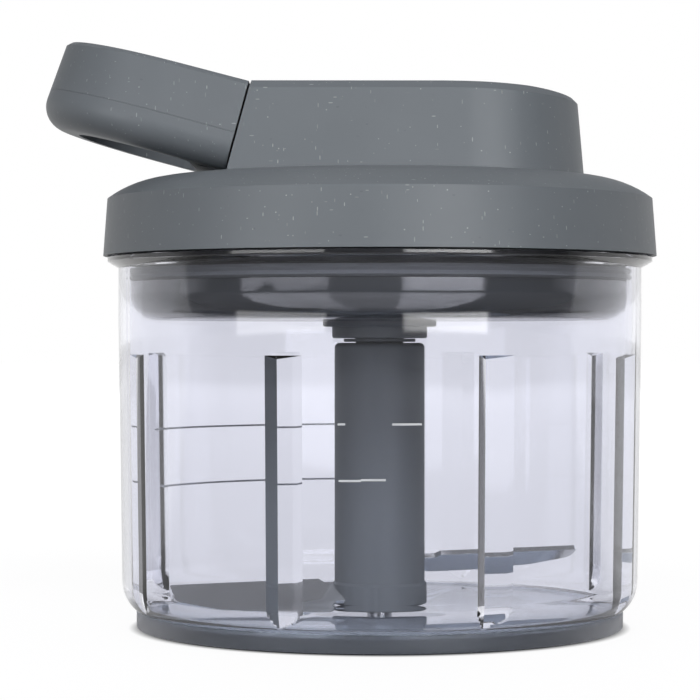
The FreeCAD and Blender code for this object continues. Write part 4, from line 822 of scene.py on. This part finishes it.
def finished(node, material, body, soft):
    """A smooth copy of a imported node, with its edges softened by that many mm."""
    mesh = bmesh.new()
    mesh.from_mesh(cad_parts[node].data)
    bmesh.ops.remove_doubles(mesh, verts=mesh.verts, dist=2e-7)
    bmesh.ops.dissolve_limit(mesh, angle_limit=FLAT_ANGLE, verts=mesh.verts,
                             edges=mesh.edges, delimit={"NORMAL"})
    weight = mesh.edges.layers.float.new("bevel_weight_edge")
    for edge in mesh.edges:
        sharp = edge.calc_face_angle(0) > SHARP_ANGLE
        joint = all(at_parting(vert.co) for vert in edge.verts)
        edge[weight] = 1.0 if sharp and not joint else 0.0
        edge.smooth = not (sharp and joint)
    data = bpy.data.meshes.new(node + "_plain")
    mesh.to_mesh(data)
    mesh.free()
    data.materials.clear()
    data.materials.append(material)
    source = bpy.data.objects.new(node + "_plain", data)
    bpy.context.scene.collection.objects.link(source)
    for face in data.polygons:
        face.use_smooth = True
        face.material_index = 0
    bevel = source.modifiers.new("soft_edges", "BEVEL")
    bevel.width = soft * MM
    bevel.segments = 2
    bevel.limit_method = "WEIGHT"
    bevel.use_clamp_overlap = True
    bevel.miter_outer = "MITER_ARC"
    bevelled = keep_mesh(source, node + "_bevelled")
    points = bevelled.data.vertices
    for edge in bevelled.data.edges:
        if all(at_parting(points[i].co) for i in edge.vertices):
            edge.use_edge_sharp = True
    weigh = bevelled.modifiers.new("flat_flats", "WEIGHTED_NORMAL")
    weigh.keep_sharp = True
    piece = keep_mesh(bevelled, node + "_finished")
    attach(piece, body)
    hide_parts(node)
    return piece


print("edges sharper than %.0f degrees get a bevel" % math.degrees(SHARP_ANGLE))

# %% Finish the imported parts
# Each part's node, finish and body, and the width of its softened edges in mm.
PARTS = [
    ("base_pad", pad_rubber, "bowl", 0.3), ("pivot_pin", polished_steel, "bowl", 0.15),
    ("blade_shaft", column_plastic, "blade_unit", 0.2),
    ("lower_blade", blade_metal, "blade_unit", 0.08), ("upper_blade", blade_metal, "blade_unit", 0.08),
    ("lid_cover", lid_plastic, "lid", 0.3), ("lid_base", plug_plastic, "lid", 0.25),
    ("lid_seal", seal_rubber, "lid", 0.1),
    ("bearing_plate", acetal, "lid", 0.2), ("upper_bush", bronze, "lid", 0.15),
    ("lower_bush", bronze, "lid", 0.15), ("shaft_seal", seal_rubber, "lid", 0.08),
    ("center_post", polished_steel, "lid", 0.1), ("cord_guide", acetal, "lid", 0.1),
    ("spiral_spring", spring_steel, "lid", 0.05),
    ("drive_shaft", acetal, "drive", 0.2), ("drive_dog", column_plastic, "drive", 0.2),
    ("pawl_pins", polished_steel, "drive", 0.1),
    ("front_pawl", zinc_steel, "front_pawl", 0.12), ("rear_pawl", zinc_steel, "rear_pawl", 0.12),
    ("cord_drum", acetal, "drum", 0.15), ("spring_cover", acetal, "drum", 0.15),
    ("handle_upper", lid_plastic, "handle", 0.25), ("handle_lower", lid_plastic, "handle", 0.25),
    ("cord_stop", zinc_steel, "handle", 0.1),
    ("plate_screws", zinc_steel, "lid", 0.12), ("dog_screw", zinc_steel, "drive", 0.12),
    ("handle_screws", zinc_steel, "handle", 0.12),
]
for node, material, body, soft in PARTS:
    piece = finished(node, material, body, soft)
    print(count_faces(piece))

# %% [markdown]
# ## The cord
# One braided cord winds three times round the drum, runs to the guide and ends in
# the handle. It is drawn as a tube swept along points, with a UV map for its
# braid. The wound turns lie closer together than the cord is thick, to fit the drum.

# %% Sweep a tube along points


def tube(name, points, radius, material, sides=14, braid=0.0032):
    """A closed round tube along points in metres, with UVs round and along it."""
    mesh = bmesh.new()
    uv = mesh.loops.layers.uv.new("UVMap")
    rings, lengths, run = [], [], 0.0
    side = None
    for i, point in enumerate(points):
        ahead = (points[min(i + 1, len(points) - 1)] - points[max(i - 1, 0)]).normalized()
        side = (side or ahead.orthogonal()).normalized()
        side = (side - ahead * side.dot(ahead)).normalized()
        other = ahead.cross(side)
        ring = []
        for k in range(sides):
            turn = 2 * math.pi * k / sides
            out = side * math.cos(turn) + other * math.sin(turn)
            ring.append(mesh.verts.new(point + out * radius))
        if i:
            run += (point - points[i - 1]).length
        rings.append(ring)
        lengths.append(run / braid)
    for i in range(len(rings) - 1):
        for k in range(sides):
            j = (k + 1) % sides
            face = mesh.faces.new((rings[i][k], rings[i][j], rings[i + 1][j], rings[i + 1][k]))
            face.smooth = True
            corners = ((k, i), (k + 1, i), (k + 1, i + 1), (k, i + 1))
            for loop, (a, b) in zip(face.loops, corners):
                loop[uv].uv = (a / sides, lengths[b])
    mesh.faces.new(list(reversed(rings[0])))
    mesh.faces.new(rings[-1])
    bmesh.ops.recalc_face_normals(mesh, faces=mesh.faces)
    data = bpy.data.meshes.new(name)
    mesh.to_mesh(data)
    mesh.free()
    data.materials.append(material)
    piece = bpy.data.objects.new(name, data)
    bpy.context.scene.collection.objects.link(piece)
    return piece


print("a tube can follow any list of points")

# %% Wind the cord on the drum
CORD_RADIUS = 0.8 * MM
WINDING_RADIUS, WINDING_HEIGHT = 20.4, 117.1     # mm, of the middle of the cord
TURNS, STEPS = 3, 48
HALF_RISE = 1.62       # mm from the winding's middle to the cord's two ends
WOUND_SHARE = 0.97     # of the cord's radius
coil = []
for i in range(TURNS * STEPS + 1):
    angle = 2 * math.pi * (i / STEPS)
    rise = (i / (TURNS * STEPS) - 0.5) * 2 * HALF_RISE * MM
    coil.append(Vector((WINDING_RADIUS * MM * math.cos(angle), WINDING_RADIUS * MM * math.sin(angle),
                        WINDING_HEIGHT * MM + rise)))
coil_piece = tube("wound_cord", coil, CORD_RADIUS * WOUND_SHARE, cord_braid)
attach(coil_piece, "drum")
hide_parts("cord_on_drum")
print(count_faces(coil_piece))

# %% Lead it to the guide
# The stretch is straight, along the tangent from the drum to the guide's mouth, and
# is drawn from where it is clear of the wound turns. All in mm, then in metres.
CORD_OFFSET = 9.8      # from the foot of the seam to the cord, square to the pull
GUIDE_MOUTH = -4.9     # along the pull
LEAD_START = 22.4      # from the axis
PIECES = 12
lead_end = on_pull(GUIDE_MOUTH, CORD_OFFSET)
distance = math.hypot(lead_end.x, lead_end.y) / MM
touch_angle = math.pi - math.acos(WINDING_RADIUS / distance)
touch = Vector((WINDING_RADIUS * math.cos(touch_angle), WINDING_RADIUS * math.sin(touch_angle),
                WINDING_HEIGHT)) * MM
way = (lead_end - touch).normalized()
clear = math.sqrt(LEAD_START ** 2 - WINDING_RADIUS ** 2) * MM
run = (lead_end - touch).length - clear
lead_points = [touch + way * (clear + run * i / PIECES) for i in range(PIECES + 1)]
lead = tube("inner_cord", lead_points, CORD_RADIUS, cord_braid)
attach(lead, "lid")
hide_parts("cord_lead")
print(count_faces(lead))

# %% Let it stretch out of the guide to the stop in the handle
IN_GUIDE, IN_STOP = -2.4, 6.5     # mm along the pull
OUTER_PIECES = 24
outer_run = IN_STOP - IN_GUIDE
outer_points = [on_pull(IN_GUIDE + outer_run * i / OUTER_PIECES, CORD_OFFSET)
                for i in range(OUTER_PIECES + 1)]
outer = tube("outer_cord", outer_points, CORD_RADIUS, cord_braid)
on_pull(-1.5, 9.8)
on_pull(2.3, 9.8)
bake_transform(outer)
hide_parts("pull_cord")
print(count_faces(outer))

# %% [markdown]
# ## What the rays see
# The lamps light the object and are hidden from mirrors. What glossy faces show is
# drawn on its own, as a glow of the floor and the world that only some rays see, so
# it never lights the object. Light Path tells the rays apart. A ray that looks
# straight, or straight through the clear bowl, sees a white studio. A ray that was
# mirrored first also sees two soft boxes in front with dark between them, which
# draws long bright and dark bands on anything round and glossy.

# %% Sort the rays
IN_WALL_SHARE = 0.6     # of a soft box's glow, in what the bowl mirrors inside its wall


def sort_rays(graph):
    """Masks: sees the studio itself, sees it mirrored, was mirrored inside clear plastic.

    The fourth mask is 1 after four passages through the clear plastic's faces, and the
    fifth is the share of a soft box's glow that a mirrored ray sees.
    """
    ray = graph.add("ShaderNodeLightPath")
    bounced = ray["Glossy Depth"] > 0.5
    through = ray["Is Transmission Ray"]
    seen = ray["Is Camera Ray"].most(through * (1 - bounced))
    mirror = ray["Is Glossy Ray"].most(through) * bounced
    deep = through * bounced
    fourth = ray["Transmission Depth"].is_near(4)
    box_share = (1 - deep).most(fourth * IN_WALL_SHARE)
    return seen, mirror, deep, fourth, box_share


print("inside the bowl's wall a box keeps", IN_WALL_SHARE, "of its glow")

# %% [markdown]
# ### Where the soft boxes stand
# Seen from the object, a soft box is a sector of the compass. Written that way, the
# floor and the world can both draw it, and the two parts meet at the horizon. A
# bearing is given as a share of a full turn: 0.5 is straight in front, less is to
# the left, and 0 and 1 are behind. Each edge is soft, so it has two shares.

# %% The two boxes and the gap between them
LEFT_BOX = ((0.3195, 0.3245), (0.4340, 0.4375))
RIGHT_BOX = ((0.5250, 0.5285), (0.6250, 0.6300))
BETWEEN = (LEFT_BOX[1], RIGHT_BOX[0])
LEFT_GLOW, RIGHT_GLOW = 4.0, 7.6


def sectors(graph, side, back, spread=1.0):
    """1 where a place or a way lies in the left box, between the boxes, or in the right box."""
    bearing = graph.add("ShaderNodeMath", {"operation": "ARCTAN2"}, [side, 0 - back])[0]
    share = bearing * spread / (2 * math.pi) + 0.5
    masks = []
    for (dark, lit), (still_lit, dark_again) in (LEFT_BOX, BETWEEN, RIGHT_BOX):
        masks.append(graph.ramp(share, [(dark, 0.0), (lit, 1.0), (still_lit, 1.0), (dark_again, 0.0)]))
    return masks


print("soft boxes from", LEFT_BOX[0][0], "to", RIGHT_BOX[1][1], "of a turn")

# %% [markdown]
# ## The floor
# The floor is one large square with two shaders added up. A dark matt one takes the
# object's shadow, and a glow makes the floor white to the camera without lighting
# the object. Under the pad and just round it there is no glow, a painted contact shadow,
# so the pad stands on a dark line. For mirrored rays the glow differs by place: white
# behind the object, dim in front of it, with the foot of the soft boxes close by and again far off.

# %% Lay the floor
FLOOR_HALF = 6.0
MIRROR_RADIUS = 0.059     # of the round wall that mirrors the floor


def pale_floor():
    mesh = bpy.data.meshes.new("floor")
    corners = [(-FLOOR_HALF, -FLOOR_HALF, 0), (FLOOR_HALF, -FLOOR_HALF, 0),
               (FLOOR_HALF, FLOOR_HALF, 0), (-FLOOR_HALF, FLOOR_HALF, 0)]
    mesh.from_pydata(corners, [], [(0, 1, 2, 3)])
    floor_piece = bpy.data.objects.new("floor", mesh)
    bpy.context.scene.collection.objects.link(floor_piece)
    material, graph, place = new_finish("floor_white")
    seen, mirror, deep, fourth, box_share = sort_rays(graph)
    side, back, _ = graph.split(place)
    away = graph.add("ShaderNodeVectorMath", {"operation": "LENGTH"}, [place])["Value"]
    rise = graph.ramp(away, [(0.15, 0.0), (0.9, 1.0)])
    # Painted contact shadow: no glow within 56.5 mm of the axis, full glow from 60 mm on.
    contact_shadow_ramp = graph.ramp(away * 10, [(0.565, 0.0), (0.60, 1.0)])
    far_side = graph.ramp(back, [(0.0, 0.0), (0.06, 1.0)])
    # A round wall turns a mirrored ray by twice the bearing of its own spot, so the ray
    # lands on the floor nearer the middle than its way points. The spread undoes that.
    spread = 2 * away / (2 * away - MIRROR_RADIUS)
    left, middle, right = sectors(graph, side, back, spread)
    close_by = graph.ramp(away, [(0.35, 1.0), (0.8, 0.0)]) * fourth
    far_off = graph.ramp(away * 0.1, [(0.47, 0.0), (0.59, 1.0)]) * box_share
    in_wall = close_by * (left * 2.4 + middle + right * 3.0) + 0.1
    boxes = left * LEFT_GLOW + right * RIGHT_GLOW
    near_side = deep * in_wall + (1 - deep) * 0.35 + far_off * boxes
    mirrored = mirror * (far_side * 0.8 + (1 - far_side) * near_side)
    glowing = seen * (0.90 + rise * 0.10) + mirrored
    matt = graph.add("ShaderNodeBsdfDiffuse", {}, [(0.09, 0.09, 0.092, 1)])
    glow = graph.add("ShaderNodeEmission", {}, {
        "Color": (1, 1, 1, 1), "Strength": contact_shadow_ramp * glowing})
    both = graph.add("ShaderNodeAddShader", {}, [matt[0], glow[0]])
    graph.add("ShaderNodeOutputMaterial", {}, {"Surface": both[0]})
    mesh.materials.append(material)


pale_floor()
print("floor:", 2 * FLOOR_HALF, "m square")

# %% [markdown]
# ## The world
# The world goes on where the floor ends: white to the rays that look straight, and
# to mirrored ones pale behind, nearly dark in front, with the two soft boxes up to
# about 18 degrees above the horizon. All other rays get an even, weak ambient light.
# A direction's parts run from -1 to 1, so they are halved and moved up for the ramps.

# %% Surround it with the world
AMBIENT = 0.18


def studio_world():
    world = bpy.data.worlds.new("studio")
    bpy.context.scene.world = world
    world.use_nodes = True
    world.node_tree.nodes.clear()
    graph = Graph(world.node_tree)
    seen, mirror, deep, _, box_share = sort_rays(graph)
    x, y, z = graph.split(graph.add("ShaderNodeTexCoord")["Generated"])
    behind = graph.ramp(y * 0.5 + 0.5, [(0.42, 0.0), (0.56, 1.0)])
    low = graph.ramp(z * 0.5 + 0.5, [(0.55, 1.0), (0.68, 0.25)])
    left, middle, right = sectors(graph, x, y)
    box_foot = graph.ramp(z * 10 + 0.5, [(0.26, 0.0), (0.44, 1.0)])
    box_head = graph.ramp(z, [(0.26, 1.0), (0.34, 0.0)])
    panels = box_foot * box_head * (left * LEFT_GLOW + right * RIGHT_GLOW)
    beyond = behind * (deep * 1.15).most(low * 0.85)
    mirrored = mirror * (beyond + panels * box_share + deep * middle * 0.15 + 0.06)
    ambient = (1 - seen.most(mirror)) * AMBIENT
    strength = seen.most(mirrored) + ambient
    light = graph.add("ShaderNodeBackground", {}, {"Color": (1, 1, 1, 1), "Strength": strength})
    graph.add("ShaderNodeOutputWorld", {}, {"Surface": light[0]})


studio_world()
print("world:", len(bpy.context.scene.world.node_tree.nodes), "nodes")

# %% [markdown]
# ## The lamps
# Five soft boxes light the object: one on each side in front, one in front and above,
# one overhead and a strong one behind, which shines through the bowl. They are area
# lamps, because a large lamp gives soft shadows. None shows in a mirror or through
# the bowl, since the floor and the world have drawn that already.

# %% Place the lamps
AIM = Vector((0, 0, 0.07))


def soft_box(name, place, size, power):
    data = bpy.data.lights.new(name, "AREA")
    data.shape = "RECTANGLE"
    data.size, data.size_y = size
    data.energy = power
    lamp = bpy.data.objects.new(name, data)
    lamp.location = place
    lamp.rotation_euler = (AIM - Vector(place)).to_track_quat("-Z", "Y").to_euler()
    lamp.visible_transmission = False
    lamp.visible_glossy = False
    bpy.context.scene.collection.objects.link(lamp)


def around(azimuth, distance, height):
    """A place seen from the object at that azimuth, 0 towards the camera, + to its right."""
    turn = math.radians(azimuth)
    return (distance * math.sin(turn), -distance * math.cos(turn), height)


soft_box("left_box", around(-42, 1.3, 0.27), (0.95, 0.56), 5.8)
soft_box("right_box", around(27.5, 1.3, 0.27), (0.82, 0.56), 6.6)
soft_box("front_box", around(4, 1.2, 1.0), (0.9, 0.5), 16.0)
soft_box("top_box", (0.0, 0.1, 1.5), (1.6, 1.6), 4.8)
soft_box("rear_box", (0.0, 2.4, 1.1), (2.4, 1.0), 52.0)
print("lamps:", len(bpy.data.lights))

# %% [markdown]
# ## The camera
# The object is seen from 600 mm in front of the axis through a long lens, 69 mm
# above the table, a little to the handle's side and almost level.

# %% Place the camera
DISTANCE, ASIDE, EYE_HEIGHT = 600, -7.1, 69     # mm
TILT_DOWN = 0.275                               # degrees
SENSOR_WIDTH, LENS = 36, 128.6                  # mm
camera_data = bpy.data.cameras.new("camera")
camera_data.sensor_width = SENSOR_WIDTH
camera_data.lens = LENS
camera = bpy.data.objects.new("camera", camera_data)
camera.location = (ASIDE * MM, -DISTANCE * MM, EYE_HEIGHT * MM)
camera.rotation_euler = (math.radians(90 - TILT_DOWN), 0, 0)
bpy.context.scene.collection.objects.link(camera)
bpy.context.scene.camera = camera
bpy.context.scene.view_settings.view_transform = "Standard"
print("camera:", DISTANCE, "mm away with a lens of", LENS, "mm")
